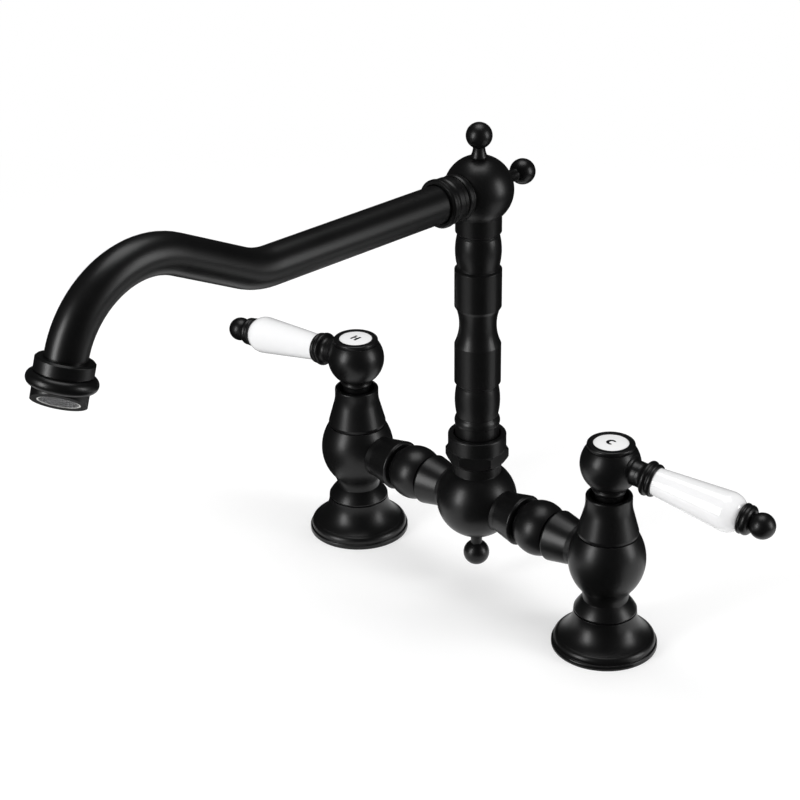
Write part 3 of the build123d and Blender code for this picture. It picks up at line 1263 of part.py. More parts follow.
# Ball finials on the top and the back of the elbow, each on a flared stem.
finials = (
    ("top_finial", TOP_FINIAL_STANDOFF, (0, 0, 1), (1, 0, 0)),
    ("back_finial", BACK_FINIAL_STANDOFF, (0, 1, 0), (1, 0, 0)),
)
for finial_name, standoff, finial_way, finial_side in finials:
    reach = ELBOW_RADIUS + standoff
    with BuildPart() as finial:
        with BuildSketch(Plane(origin=elbow_centre, x_dir=finial_way, z_dir=finial_side)):
            with BuildLine():
                foot = chord(ELBOW_RADIUS, FINIAL_FOOT_RADIUS + SEAT_GAP) + SEAT_GAP
                stud_end = ELBOW_RADIUS - FINIAL_STUD_LENGTH
                foot_top = foot + FINIAL_FOOT
                stem_end = reach - chord(FINIAL_BALL_RADIUS, FINIAL_STEM_RADIUS)
                stem_angle = degrees(acos(chord(FINIAL_BALL_RADIUS, FINIAL_STEM_RADIUS) / FINIAL_BALL_RADIUS))
                Polyline(
                    (reach + FINIAL_BALL_RADIUS, 0),
                    (stud_end, 0),
                    (stud_end, FINIAL_STUD_RADIUS),
                    (foot, FINIAL_STUD_RADIUS),
                    (foot, FINIAL_FOOT_RADIUS),
                    (foot_top, FINIAL_FOOT_RADIUS),
                )
                TangentArc(
                    (stem_end, FINIAL_STEM_RADIUS), (foot_top, FINIAL_FOOT_RADIUS), tangent=(-1, 0)
                )
                CenterArc((reach, 0), FINIAL_BALL_RADIUS, 0, 180 - stem_angle)
            make_face()
        revolve(axis=Axis(elbow_centre, finial_way))
    finial.part.label = finial_name
    export_step(finial.part, f"parts/{finial_name}.step")

# Ringed socket between the elbow ball and the tube.
with BuildPart() as spout_socket:
    with BuildSketch(run_section):
        with BuildLine():
            ring_start = socket_seat + SOCKET_NECK
            ring_end = ring_start + SOCKET_RING
            band_start = ring_end + SOCKET_GROOVE
            band_end = band_start + SOCKET_BAND
            lip_start = band_end + SOCKET_LIP_GROOVE
            socket_end = lip_start + SOCKET_LIP
            spigot_start = socket_seat - SOCKET_SPIGOT
            Polyline(
                (spigot_start, socket_bore),
                (spigot_start, SPIGOT_RADIUS),
                (socket_seat, SPIGOT_RADIUS),
                (socket_seat, socket_neck),
                (ring_start, socket_neck),
                (ring_start, socket_ring - SOCKET_ROUND / 2),
                (ring_start + SOCKET_ROUND, socket_ring),
                (ring_end - SOCKET_ROUND, socket_ring),
                (ring_end, socket_ring - SOCKET_ROUND / 2),
                (ring_end, socket_groove),
                (band_start, socket_groove),
                (band_start, socket_band - SOCKET_ROUND / 2),
                (band_start + SOCKET_ROUND, socket_band),
                (band_end - SOCKET_ROUND, socket_band),
                (band_end, socket_band - SOCKET_ROUND / 2),
                (band_end, socket_lip_groove),
                (lip_start, socket_lip_groove),
                (lip_start, socket_lip - SOCKET_ROUND / 2),
                (lip_start + SOCKET_ROUND, socket_lip),
                (socket_end - SOCKET_ROUND, socket_lip),
                (socket_end, socket_lip - SOCKET_ROUND),
                (socket_end, tube_bore + SOCKET_ROUND / 2),
                (socket_end - SOCKET_ROUND, tube_bore),
                (tube_seat - SEAT_GAP, tube_bore),
                (tube_seat - SEAT_GAP, socket_bore),
                (spigot_start, socket_bore),
            )
        make_face()
    revolve(axis=run_axis)
spout_socket.part.label = "spout_socket"
export_step(spout_socket.part, "parts/spout_socket.step")

# Corners of the tube's route in the plane of the spout: (distance forward, height).
rise_slope = tan(radians(SPOUT_RISE))
swan_slope = tan(radians(SWAN_RISE))
lean_slope = tan(radians(TIP_LEAN))
swan_start = SPOUT_REACH - SWAN_SPAN
tip_height = SPOUT_HEIGHT + TIP_RISE
run_start = (tube_seat * cos(radians(SPOUT_RISE)), SPOUT_HEIGHT + tube_seat * sin(radians(SPOUT_RISE)))
low_corner = (swan_start, SPOUT_HEIGHT + swan_start * rise_slope)
crest_forward = (SPOUT_REACH + lean_slope * (tip_height - low_corner[1] + swan_slope * swan_start)) / (
    1 + lean_slope * swan_slope
)
crest_corner = (crest_forward, low_corner[1] + swan_slope * (crest_forward - swan_start))
tube_end = (
    SPOUT_REACH + TUBE_IN_TIP * sin(radians(TIP_LEAN)),
    tip_height - TUBE_IN_TIP * cos(radians(TIP_LEAN)),
)

# Bent tube, in one sweep of its ring section.
with BuildPart() as spout_tube:
    with BuildLine():
        FilletPolyline(
            *[(0, -forward, height) for forward, height in (run_start, low_corner, crest_corner, tube_end)],
            radius=(LOW_BEND_RADIUS, CREST_BEND_RADIUS),
        )
    with BuildSketch(run_mouth.offset(tube_seat)):
        Circle(TUBE_RADIUS)
        Circle(TUBE_RADIUS - TUBE_WALL, mode=Mode.SUBTRACT)
    sweep()
spout_tube.part.label = "spout_tube"
export_step(spout_tube.part, "parts/spout_tube.step")

# The tip's axis runs down and a little outwards.
down = (0, -sin(radians(TIP_LEAN)), -cos(radians(TIP_LEAN)))
tip_start = (0, -SPOUT_REACH, tip_height)
tip_section = Plane(origin=tip_start, x_dir=down, z_dir=(1, 0, 0))
tip_axis = Axis(tip_start, down)
bead_from = TIP_COLLAR_LENGTH + TIP_GROOVE
bead_to = bead_from + TIP_BEAD_LENGTH
thread_from = bead_to - AERATOR_THREAD_LENGTH

# Collar and bead on the end of the tube, threaded inside for the nozzle.
with BuildPart() as tip_collar:
    with BuildSketch(tip_section):
        with BuildLine():
            thread_bore = AERATOR_THREAD_RADIUS + SEAT_GAP
            Polyline(
                (bead_to, TIP_GROOVE_RADIUS),
                (bead_to, thread_bore),
                (thread_from, thread_bore),
                (thread_from, TIP_STEP_RADIUS),
                (TUBE_IN_TIP + SEAT_GAP, TIP_STEP_RADIUS),
                (TUBE_IN_TIP + SEAT_GAP, tube_bore),
                (0, tube_bore),
                (0, TIP_COLLAR_RADIUS - TIP_COLLAR_ROUND),
                (TIP_COLLAR_ROUND, TIP_COLLAR_RADIUS),
                (TIP_COLLAR_LENGTH, TIP_COLLAR_RADIUS),
                (TIP_COLLAR_LENGTH, TIP_GROOVE_RADIUS),
                (bead_from, TIP_GROOVE_RADIUS),
            )
            ThreePointArc(
                (bead_from, TIP_GROOVE_RADIUS),
                ((bead_from + bead_to) / 2, TIP_BEAD_RADIUS),
                (bead_to, TIP_GROOVE_RADIUS),
            )
        make_face()
    revolve(axis=tip_axis)
tip_collar.part.label = "tip_collar"
export_step(tip_collar.part, "parts/tip_collar.step")

# The outlet face is slanted: its normal leans from the tip's axis towards one front corner.
slant_reach = NOZZLE_RADIUS * tan(radians(NOZZLE_SLANT))
nozzle_middle = bead_to + NOZZLE_FRONT + slant_reach
nozzle_long = nozzle_middle + slant_reach
lean_side = Vector(cos(radians(NOZZLE_TURN)), sin(radians(NOZZLE_TURN)), 0)
face_normal = Vector(*down).rotate(Axis((0, 0, 0), lean_side), -NOZZLE_SLANT)
face_centre = Vector(*tip_start) + Vector(*down) * nozzle_middle
outlet_face = Plane(origin=face_centre, z_dir=face_normal)

# Nozzle that screws into the collar and holds the aerator.
with BuildPart() as aerator_nozzle:
    with BuildSketch(tip_section):
        with BuildLine():
            Polyline(
                (thread_from + AERATOR_WASHER_THICKNESS, 0),
                (thread_from + AERATOR_WASHER_THICKNESS, AERATOR_THREAD_RADIUS),
                (bead_to, AERATOR_THREAD_RADIUS),
                (bead_to, NOZZLE_RADIUS),
                (nozzle_long, NOZZLE_RADIUS),
                (nozzle_long, 0),
                (thread_from + AERATOR_WASHER_THICKNESS, 0),
            )
        make_face()
    revolve(axis=tip_axis)
    with BuildSketch(outlet_face):
        Circle(2 * NOZZLE_RADIUS)
    extrude(amount=2 * NOZZLE_RADIUS, mode=Mode.SUBTRACT)
    with BuildSketch(outlet_face):
        Circle(AERATOR_RADIUS + SEAT_GAP)
    extrude(amount=-AERATOR_RECESS - AERATOR_THICKNESS - SCREEN_THICKNESS, mode=Mode.SUBTRACT)
    with BuildSketch(Plane(origin=tip_start, z_dir=down)):
        Circle(NOZZLE_BORE_RADIUS)
    extrude(amount=nozzle_middle, mode=Mode.SUBTRACT)
aerator_nozzle.part.label = "aerator_nozzle"
export_step(aerator_nozzle.part, "parts/aerator_nozzle.step")

# Flat washer above the nozzle's thread.
with BuildPart() as aerator_washer:
    with BuildSketch(Plane(origin=tip_start, z_dir=down).offset(thread_from)):
        Circle(AERATOR_THREAD_RADIUS)
        Circle(TIP_STEP_RADIUS, mode=Mode.SUBTRACT)
    extrude(amount=AERATOR_WASHER_THICKNESS)
aerator_washer.part.label = "aerator_washer"
export_step(aerator_washer.part, "parts/aerator_washer.step")

# Plastic flow insert with a ring of jets.
with BuildPart() as aerator_insert:
    with BuildSketch(outlet_face.offset(-AERATOR_RECESS - SCREEN_THICKNESS)):
        Circle(AERATOR_RADIUS)
        with PolarLocations(AERATOR_HOLE_RING, AERATOR_HOLES):
            Circle(AERATOR_HOLE_RADIUS, mode=Mode.SUBTRACT)
        Circle(AERATOR_HOLE_RADIUS, mode=Mode.SUBTRACT)
    extrude(amount=-AERATOR_THICKNESS)
    with BuildSketch(outlet_face.offset(-AERATOR_RECESS)):
        Circle(AERATOR_RADIUS)
        Circle(SCREEN_RADIUS + SEAT_GAP, mode=Mode.SUBTRACT)
    extrude(amount=-SCREEN_THICKNESS)
aerator_insert.part.label = "aerator_insert"
export_step(aerator_insert.part, "parts/aerator_insert.step")

# Steel screen: a disc pierced by a square grid of small holes.
rows = int((SCREEN_RADIUS - SCREEN_RIM) / SCREEN_PITCH)
holes = [
    (column * SCREEN_PITCH, row * SCREEN_PITCH)
    for column in range(-rows, rows + 1)
    for row in range(-rows, rows + 1)
    if sqrt(column**2 + row**2) * SCREEN_PITCH + SCREEN_HOLE / sqrt(2) < SCREEN_RADIUS - SCREEN_RIM
]
with BuildPart() as aerator_screen:
    with BuildSketch(outlet_face.offset(-AERATOR_RECESS)):
        Circle(SCREEN_RADIUS)
        with Locations(*holes):
            Rectangle(SCREEN_HOLE, SCREEN_HOLE, mode=Mode.SUBTRACT)
    extrude(amount=-SCREEN_THICKNESS)
aerator_screen.part.label = "aerator_screen"
export_step(aerator_screen.part, "parts/aerator_screen.step")
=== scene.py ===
import json
import math

import bmesh
import bpy
from mathutils import Matrix, Vector


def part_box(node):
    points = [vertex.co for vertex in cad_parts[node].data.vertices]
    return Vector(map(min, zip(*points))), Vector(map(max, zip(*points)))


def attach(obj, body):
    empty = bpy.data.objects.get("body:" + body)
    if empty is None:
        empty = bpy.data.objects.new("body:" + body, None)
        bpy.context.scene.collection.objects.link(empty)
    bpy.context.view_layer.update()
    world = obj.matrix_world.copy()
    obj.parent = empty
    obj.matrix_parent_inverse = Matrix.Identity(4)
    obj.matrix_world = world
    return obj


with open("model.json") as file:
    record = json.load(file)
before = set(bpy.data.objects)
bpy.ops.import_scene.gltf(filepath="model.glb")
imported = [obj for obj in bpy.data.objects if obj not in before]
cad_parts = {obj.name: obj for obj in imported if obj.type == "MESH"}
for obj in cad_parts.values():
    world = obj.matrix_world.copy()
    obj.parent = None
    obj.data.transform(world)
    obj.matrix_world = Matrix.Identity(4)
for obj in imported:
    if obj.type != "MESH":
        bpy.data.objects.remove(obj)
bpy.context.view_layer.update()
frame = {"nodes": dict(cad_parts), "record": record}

MM = 0.001

# ---------------------------------------------------------------------------
# Camera: the photograph's place, direction and angle of view
# ---------------------------------------------------------------------------

CAMERA_PLACE = (0.711990, -0.798973, 0.656842)
CAMERA_TURN = 43.89
CAMERA_PITCH = 27.00
CAMERA_ROLL = -0.61
SENSOR_WIDTH = 36.0
FOCAL_LENGTH = 102.48
CLIP_START = 0.01


def camera_axes():
    """The camera's right, up and forward, then the same forward and right made level."""
    turn, pitch, roll = (math.radians(v) for v in (CAMERA_TURN, CAMERA_PITCH, CAMERA_ROLL))
    right = Vector((math.cos(turn), math.sin(turn), 0))
    ahead = Vector((-math.sin(turn), math.cos(turn), 0))
    upright = Vector((0, 0, 1))
    forward = math.cos(pitch) * ahead - math.sin(pitch) * upright
    up = math.sin(pitch) * ahead + math.cos(pitch) * upright
    rolled_right = math.cos(roll) * right + math.sin(roll) * up
    rolled_up = -math.sin(roll) * right + math.cos(roll) * up
    return rolled_right, rolled_up, forward, ahead, right


RIGHT, UP, FORWARD, AHEAD, LEVEL_RIGHT = camera_axes()
camera_data = bpy.data.cameras.new("camera")
camera_data.lens = FOCAL_LENGTH
camera_data.sensor_width = SENSOR_WIDTH
camera_data.clip_start = CLIP_START
camera = bpy.data.objects.new("camera", camera_data)
bpy.context.scene.collection.objects.link(camera)
camera.matrix_world = Matrix.Translation(CAMERA_PLACE) @ Matrix(
    (RIGHT, UP, -FORWARD)
).transposed().to_4x4()
bpy.context.scene.camera = camera
bpy.context.scene.view_settings.view_transform = "Standard"

# ---------------------------------------------------------------------------
# Materials. Every scale is in features per metre.
# ---------------------------------------------------------------------------

# Cosine between the bevelled and the true normal: where an edge is full, and where it ends.
EDGE_FULL = 0.90
EDGE_NONE = 0.995

COAT_CLOUD_SCALE = 38
COAT_GRAIN_SCALE = 5200
COAT_PEEL_SCALE = 620
COAT_DARK = (0.0020, 0.0020, 0.0021)
COAT_LIGHT = (0.0032, 0.0032, 0.0033)
COAT_SPECK = (0.0080, 0.0080, 0.0083)
# Painted highlight: the lighter colours laid along the coat's edges.
EDGE_HIGHLIGHT_DARK = (0.010, 0.010, 0.0105)
EDGE_HIGHLIGHT_LIGHT = (0.016, 0.016, 0.0165)
COAT_EDGE_RADIUS = 0.30 * MM
COAT_EDGE_POLISH = 0.06
COAT_PEEL_DEPTH = 0.010 * MM
COAT_GRAIN_DEPTH = 0.0016 * MM

GLAZE_CLOUD_SCALE = 55
GLAZE_WAVE_SCALE = 70
GLAZE_PIT_SCALE = 1500
GLAZE_PIT = (0.70, 0.69, 0.67)
GLAZE_PIT_DEPTH = 0.0015 * MM
GLAZE_EDGE_RADIUS = 0.35 * MM
GLAZE_EDGE_DULLING = 0.05

METAL_CLOUD_SCALE = 90
METAL_EDGE_RADIUS = 0.12 * MM
METAL_EDGE_POLISH = 0.05
PLAIN_CLOUD_SCALE = 70


class Nodes:
    """A material's node tree with short calls to add and join nodes."""

    def __init__(self, name):
        self.material = bpy.data.materials.new(name)
        self.material.use_nodes = True
        self.tree = self.material.node_tree
        self.shader = self.tree.nodes["Principled BSDF"]
        self.place = self.add("ShaderNodeTexCoord").outputs["Object"]

    def add(self, kind, **settings):
        node = self.tree.nodes.new(kind)
        for key, value in settings.items():
            setattr(node, key, value)
        return node

    def join(self, source, target):
        self.tree.links.new(source, target)

    def noise(self, scale, detail=2.0, stretch=(1, 1, 1)):
        """Noise whose scale is in features per metre, in the object's own coordinates."""
        spread = self.add("ShaderNodeMapping")
        spread.inputs["Scale"].default_value = stretch
        self.join(self.place, spread.inputs["Vector"])
        node = self.add("ShaderNodeTexNoise")
        node.inputs["Scale"].default_value = scale
        node.inputs["Detail"].default_value = detail
        self.join(spread.outputs["Vector"], node.inputs["Vector"])
        return node.outputs["Fac"]

    def between(self, factor, low, high, start=0.3, end=0.7):
        """A number that runs from low to high as the factor goes from start to end."""
        node = self.add("ShaderNodeMapRange")
        ends = {"From Min": start, "From Max": end, "To Min": low, "To Max": high}
        for key, value in ends.items():
            node.inputs[key].default_value = value
        self.join(factor, node.inputs["Value"])
        return node.outputs["Result"]

    def colours(self, factor, *stops):
        """A colour ramp through (position, colour) stops."""
        node = self.add("ShaderNodeValToRGB")
        ramp = node.color_ramp
        while len(ramp.elements) < len(stops):
            ramp.elements.new(0.5)
        for element, (position, colour) in zip(ramp.elements, stops):
            element.position = position
            element.color = (*colour, 1)
        self.join(factor, node.inputs["Fac"])
        return node.outputs["Color"]

    def mix_colour(self, factor, first, second):
        node = self.add("ShaderNodeMix", data_type="RGBA")
        self.join(factor, node.inputs["Factor"])
        self.join(first, node.inputs["A"])
        self.join(second, node.inputs["B"])
        return node.outputs["Result"]

    def math(self, operation, first, second):
        """A sum, difference or product of two sockets or numbers."""
        node = self.add("ShaderNodeMath", operation=operation)
        for socket, value in zip(node.inputs, (first, second)):
            if isinstance(value, (int, float)):
                socket.default_value = value
            else:
                self.join(value, socket)
        return node.outputs["Value"]

    def bump(self, height, depth, normal=None):
        """A relief of the given depth in metres."""
        node = self.add("ShaderNodeBump")
        node.inputs["Distance"].default_value = depth
        self.join(height, node.inputs["Height"])
        if normal is not None:
            self.join(normal, node.inputs["Normal"])
        return node.outputs["Normal"]

    def soft_edges(self, radius, samples=6):
        """The normal of edges rounded by the given radius, and 1 where those edges are."""
        bevel = self.add("ShaderNodeBevel", samples=samples)
        bevel.inputs["Radius"].default_value = radius
        true_normal = self.add("ShaderNodeNewGeometry").outputs["Normal"]
        dot = self.add("ShaderNodeVectorMath", operation="DOT_PRODUCT")
        self.join(bevel.outputs["Normal"], dot.inputs[0])
        self.join(true_normal, dot.inputs[1])
        edge = self.between(dot.outputs["Value"], 1.0, 0.0, start=EDGE_FULL, end=EDGE_NONE)
        return bevel.outputs["Normal"], edge

    def set(self, **values):
        for key, value in values.items():
            self.shader.inputs[key.replace("_", " ")].default_value = value

    def feed(self, colour, roughness, normal):
        """Joins the three sources to the shader."""
        for key, source in (("Base Color", colour), ("Roughness", roughness), ("Normal", normal)):
            self.join(source, self.shader.inputs[key])


def black_finish():
    """Satin black powder coat: fine grain and slight orange peel, with a painted highlight along
    the edges, which are also a little smoother.
    """
    n = Nodes("black_finish")
    cloud = n.noise(COAT_CLOUD_SCALE, 3)
    grain = n.noise(COAT_GRAIN_SCALE, 2)
    peel = n.noise(COAT_PEEL_SCALE, 1.5)
    body = n.colours(cloud, (0.30, COAT_DARK), (0.70, COAT_LIGHT))
    speck = n.colours(grain, (0.40, COAT_DARK), (0.72, COAT_SPECK))
    coat = n.mix_colour(n.between(grain, 0.0, 0.55, start=0.45, end=0.75), body, speck)
    rounded, edge = n.soft_edges(COAT_EDGE_RADIUS)
    # Painted highlight along the edges, broken up by the peel noise; the same mask also lowers
    # the roughness there.
    painted_edge_highlight = n.colours(cloud, (0.3, EDGE_HIGHLIGHT_DARK), (0.7, EDGE_HIGHLIGHT_LIGHT))
    edge_highlight_mask = n.math("MULTIPLY", edge, n.between(peel, 0.2, 0.8))
    colour = n.mix_colour(edge_highlight_mask, coat, painted_edge_highlight)
    rough = n.math("ADD", n.between(cloud, 0.33, 0.37), n.between(grain, -0.02, 0.035))
    rough = n.math("SUBTRACT", rough, n.math("MULTIPLY", edge_highlight_mask, COAT_EDGE_POLISH))
    normal = n.bump(peel, COAT_PEEL_DEPTH, rounded)
    normal = n.bump(grain, COAT_GRAIN_DEPTH, normal)
    n.feed(colour, rough, normal)
    n.set(Specular_IOR_Level=0.36)
    return n.material


def glaze(name, low, high, roughness, wave):
    """White glaze: slow waves, faint cloudiness and a few pin-sized pits under a clear coat."""
    n = Nodes(name)
    cloud = n.noise(GLAZE_CLOUD_SCALE, 3)
    pits = n.noise(GLAZE_PIT_SCALE, 1)
    body = n.colours(cloud, (0.30, low), (0.70, high))
    shade = n.colours(pits, (0.0, GLAZE_PIT), (0.30, high))
    colour = n.mix_colour(n.between(pits, 1.0, 0.0, start=0.20, end=0.27), body, shade)
    rounded, edge = n.soft_edges(GLAZE_EDGE_RADIUS, samples=4)
    rough = n.math(
        "ADD",
        n.between(cloud, roughness * 0.8, roughness * 1.25),
        n.math("MULTIPLY", edge, GLAZE_EDGE_DULLING),
    )
    normal = n.bump(n.noise(GLAZE_WAVE_SCALE, 1), wave, rounded)
    normal = n.bump(pits, GLAZE_PIT_DEPTH, normal)
    n.feed(colour, rough, normal)
    n.set(Coat_Weight=0.5, Coat_Roughness=0.05, Specular_IOR_Level=0.5)
    return n.material


def metal(name, dark, light, roughness, stretch, scale, depth):
    """Bare metal with the fine lines that turning or brushing leaves."""
    n = Nodes(name)
    lines = n.noise(scale, 3, stretch)
    cloud = n.noise(METAL_CLOUD_SCALE, 2)
    tone = n.math("ADD", n.math("MULTIPLY", lines, 0.6), n.math("MULTIPLY", cloud, 0.4))
    rounded, edge = n.soft_edges(METAL_EDGE_RADIUS, samples=4)
    rough = n.math(
        "ADD",
        n.between(lines, roughness * 0.75, roughness * 1.3),
        n.math("MULTIPLY", edge, -METAL_EDGE_POLISH),
    )
    n.feed(n.colours(tone, (0.3, dark), (0.7, light)), rough, n.bump(lines, depth, rounded))
    n.set(Metallic=1.0)
    return n.material


def plain(name, dark, light, roughness, scale, depth, sheen=0.0):
    """A dull moulded or lapped surface with a fine grain."""
    n = Nodes(name)
    grain = n.noise(scale, 4)
    cloud = n.noise(PLAIN_CLOUD_SCALE, 2)
    tone = n.math("ADD", n.math("MULTIPLY", grain, 0.5), n.math("MULTIPLY", cloud, 0.5))
    rough = n.between(grain, roughness * 0.85, min(1.0, roughness * 1.15))
    n.feed(n.colours(tone, (0.3, dark), (0.7, light)), rough, n.bump(grain, depth))
    n.set(Sheen_Weight=sheen)
    return n.material


materials = {
    "black_finish": black_finish(),
    "white_porcelain": glaze(
        "white_porcelain",
        low=(0.83, 0.83, 0.835),
        high=(0.86, 0.86, 0.865),
        roughness=0.12,
        wave=0.06 * MM,
    ),
    "white_enamel": glaze(
        "white_enamel",
        low=(0.92, 0.92, 0.92),
        high=(0.94, 0.94, 0.94),
        roughness=0.14,
        wave=0.02 * MM,
    ),
    "valve_ceramic": plain(
        "valve_ceramic",
        dark=(0.74, 0.73, 0.70),
        light=(0.84, 0.83, 0.81),
        roughness=0.35,
        scale=2600,
        depth=0.002 * MM,
    ),
    "brass": metal(
        "brass",
        dark=(0.62, 0.44, 0.19),
        light=(0.84, 0.66, 0.36),
        roughness=0.30,
        stretch=(1, 1, 14),
        scale=900,
        depth=0.004 * MM,
    ),
    "steel": metal(
        "steel",
        dark=(0.62, 0.62, 0.63),
        light=(0.80, 0.80, 0.81),
        roughness=0.28,
        stretch=(9, 1, 1),
        scale=1400,
        depth=0.003 * MM,
    ),
    "black_rubber": plain(
        "black_rubber",
        dark=(0.012, 0.012, 0.012),
        light=(0.028, 0.028, 0.028),
        roughness=0.80,
        scale=3000,
        depth=0.01 * MM,
        sheen=0.15,
    ),
    "white_acetal": plain(
        "white_acetal",
        dark=(0.60, 0.60, 0.58),
        light=(0.68, 0.68, 0.66),
        roughness=0.42,
        scale=1800,
        depth=0.003 * MM,
    ),
}

slot_of = {part["node"]: part["material_slot"] for part in frame["record"]["subparts"]}
for node_name, node_object in frame["nodes"].items():
    material = materials[slot_of[node_name]]
    if not node_object.material_slots:
        node_object.data.materials.append(material)
    for material_slot in node_object.material_slots:
        material_slot.material = material

# ---------------------------------------------------------------------------
# H and C on the buttons
# ---------------------------------------------------------------------------

LETTER_HEIGHT = 5.0 * MM
LETTER_PROUD = 0.06 * MM      # ink above the button
LETTER_FOOT = 0.05 * MM       # letter's depth in the button
H_WIDTH = 4.1 * MM
H_STROKE = 1.28 * MM
H_BAR = 0.85 * MM
C_OUTER = 2.55 * MM           # outer radius
C_THICK = 1.75 * MM
C_THIN = 0.95 * MM
C_SWELL = 1.5                 # how late the stroke swells from thin to thick
C_OPENING = 48                # degrees, from the middle of the gap to the C's end
C_STEPS = 40
BUTTON_DOME = 0.45 * MM       # as in the part's source
WELD_DISTANCE = 0.001 * MM


def h_outlines():
    """The H as three closed outlines that meet edge to edge."""
    x, y, b = H_WIDTH / 2, LETTER_HEIGHT / 2, H_BAR / 2
    inner = x - H_STROKE
    left = [(-x, -y), (-inner, -y), (-inner, -b), (-inner, b), (-inner, y), (-x, y)]
    bar = [(-inner, -b), (inner, -b), (inner, b), (-inner, b)]
    right = [(inner, -y), (x, -y), (x, y), (inner, y), (inner, b), (inner, -b)]
    return [left, bar, right]


def c_outlines():
    """The C as a chain of four-sided outlines, thickest at the left."""
    outer, inner = [], []
    for step in range(C_STEPS + 1):
        angle = math.radians(C_OPENING + (360 - 2 * C_OPENING) * step / C_STEPS)
        width = C_THIN + (C_THICK - C_THIN) * (0.5 - 0.5 * math.cos(angle)) ** C_SWELL
        direction = Vector((math.cos(angle), math.sin(angle)))
        outer.append(tuple(direction * C_OUTER))
        inner.append(tuple(direction * (C_OUTER - width)))
    return [[outer[i], outer[i + 1], inner[i + 1], inner[i]] for i in range(C_STEPS)]


def letter(name, side, outlines):
    """A thin raised letter that follows the button's dome."""
    low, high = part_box(f"{side}_index_button")
    centre_x, centre_y, top = (low[0] + high[0]) / 2, (low[1] + high[1]) / 2, high[2]
    dome_radius = ((high[0] - low[0]) ** 2 / 4 + BUTTON_DOME**2) / (2 * BUTTON_DOME)
    mesh = bmesh.new()
    for outline in outlines:
        corners = [mesh.verts.new((x, y, 0)) for x, y in outline]
        mesh.faces.new(corners)
    bmesh.ops.remove_doubles(mesh, verts=mesh.verts, dist=WELD_DISTANCE)
    bmesh.ops.recalc_face_normals(mesh, faces=mesh.faces)
    for face in mesh.faces:
        if face.normal.z < 0:
            face.normal_flip()
    flat = list(mesh.faces)
    raised = bmesh.ops.extrude_face_region(mesh, geom=flat, use_keep_orig=True)
    upper = {v for v in raised["geom"] if isinstance(v, bmesh.types.BMVert)}
    for face in flat:
        face.normal_flip()
    for vert in mesh.verts:
        fall = (vert.co.x**2 + vert.co.y**2) / (2 * dome_radius)
        rise = LETTER_PROUD if vert in upper else -LETTER_FOOT
        vert.co = Vector((centre_x + vert.co.x, centre_y + vert.co.y, top - fall + rise))
    data = bpy.data.meshes.new(name)
    mesh.to_mesh(data)
    mesh.free()
    data.materials.append(letter_ink)
    piece = bpy.data.objects.new(name, data)
    bpy.context.scene.collection.objects.link(piece)
    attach(piece, f"{side}_handle")


letter_ink = plain(
    "letter_ink",
    dark=(0.004, 0.004, 0.005),
    light=(0.008, 0.008, 0.009),
    roughness=0.30,
    scale=3500,
    depth=0.002 * MM,
)
letter("hot_letter", "hot", h_outlines())
letter("cold_letter", "cold", c_outlines())

# ---------------------------------------------------------------------------
# Floor, world and lamps
# ---------------------------------------------------------------------------

FLOOR_HALF = 14.0
FLOOR_SQUARES = 8
FLOOR_COLOUR = 0.80           # the colour that lights the object
# The camera and reflections see this colour with a constant glow, so that the shadow stays faint.
FLOOR_SHOWN = 0.62
FLOOR_LIFT = 0.40
SPECKLE_SCALE = 400
SPECKLE = 0.004               # how far the shown colour strays
SHADOW_ZONE = (0.42, 0.75)    # distances between which the shown floor turns to plain white
WORLD_LIGHT = 0.45
DARK_SHADE = 0.02
CARD_HEIGHT = 0.001
CARD_STEPS = 24
ROOM_RADIUS = 3.0
ROOM_HEIGHT = 3.2
ROOM_TOP_RADIUS = 0.01
# Dark cards on the floor: azimuths from the camera's side, then near and far distance.
# tip_card lies beyond the spout's outlet and darkens what the nozzle reflects.
FLOOR_CARDS = (
    ("front_card", -38, 42, 0.06, ROOM_RADIUS),
    ("rear_card", 88, 275, 0.12, ROOM_RADIUS),
    ("left_card", -85, -38, 0.45, ROOM_RADIUS),
    ("tip_card", -85, -66, 0.15, 0.34),
    ("right_card", 42, 88, 0.45, ROOM_RADIUS),
)
LAMPS = (
    # name, azimuth from the camera's side, elevation, distance, width, height, radiance
    ("left_box", -56, 15, 1.6, 0.42, 1.00, 9.0),
    ("right_box", 72, 13, 1.6, 0.42, 1.00, 6.6),
    ("top_box", 180, 80, 1.7, 1.10, 1.10, 3.0),
)
LAMP_AIM = Vector((0, 0, 0.12))


def shown_ray(tree):
    """1 for a ray from the camera, or one that a shiny or clear surface sends on; else 0."""
    path = tree.nodes.new("ShaderNodeLightPath")
    total = path.outputs["Is Camera Ray"]
    for name in ("Is Glossy Ray", "Is Transmission Ray"):
        add = tree.nodes.new("ShaderNodeMath")
        add.operation = "MAXIMUM"
        tree.links.new(total, add.inputs[0])
        tree.links.new(path.outputs[name], add.inputs[1])
        total = add.outputs["Value"]
    return total


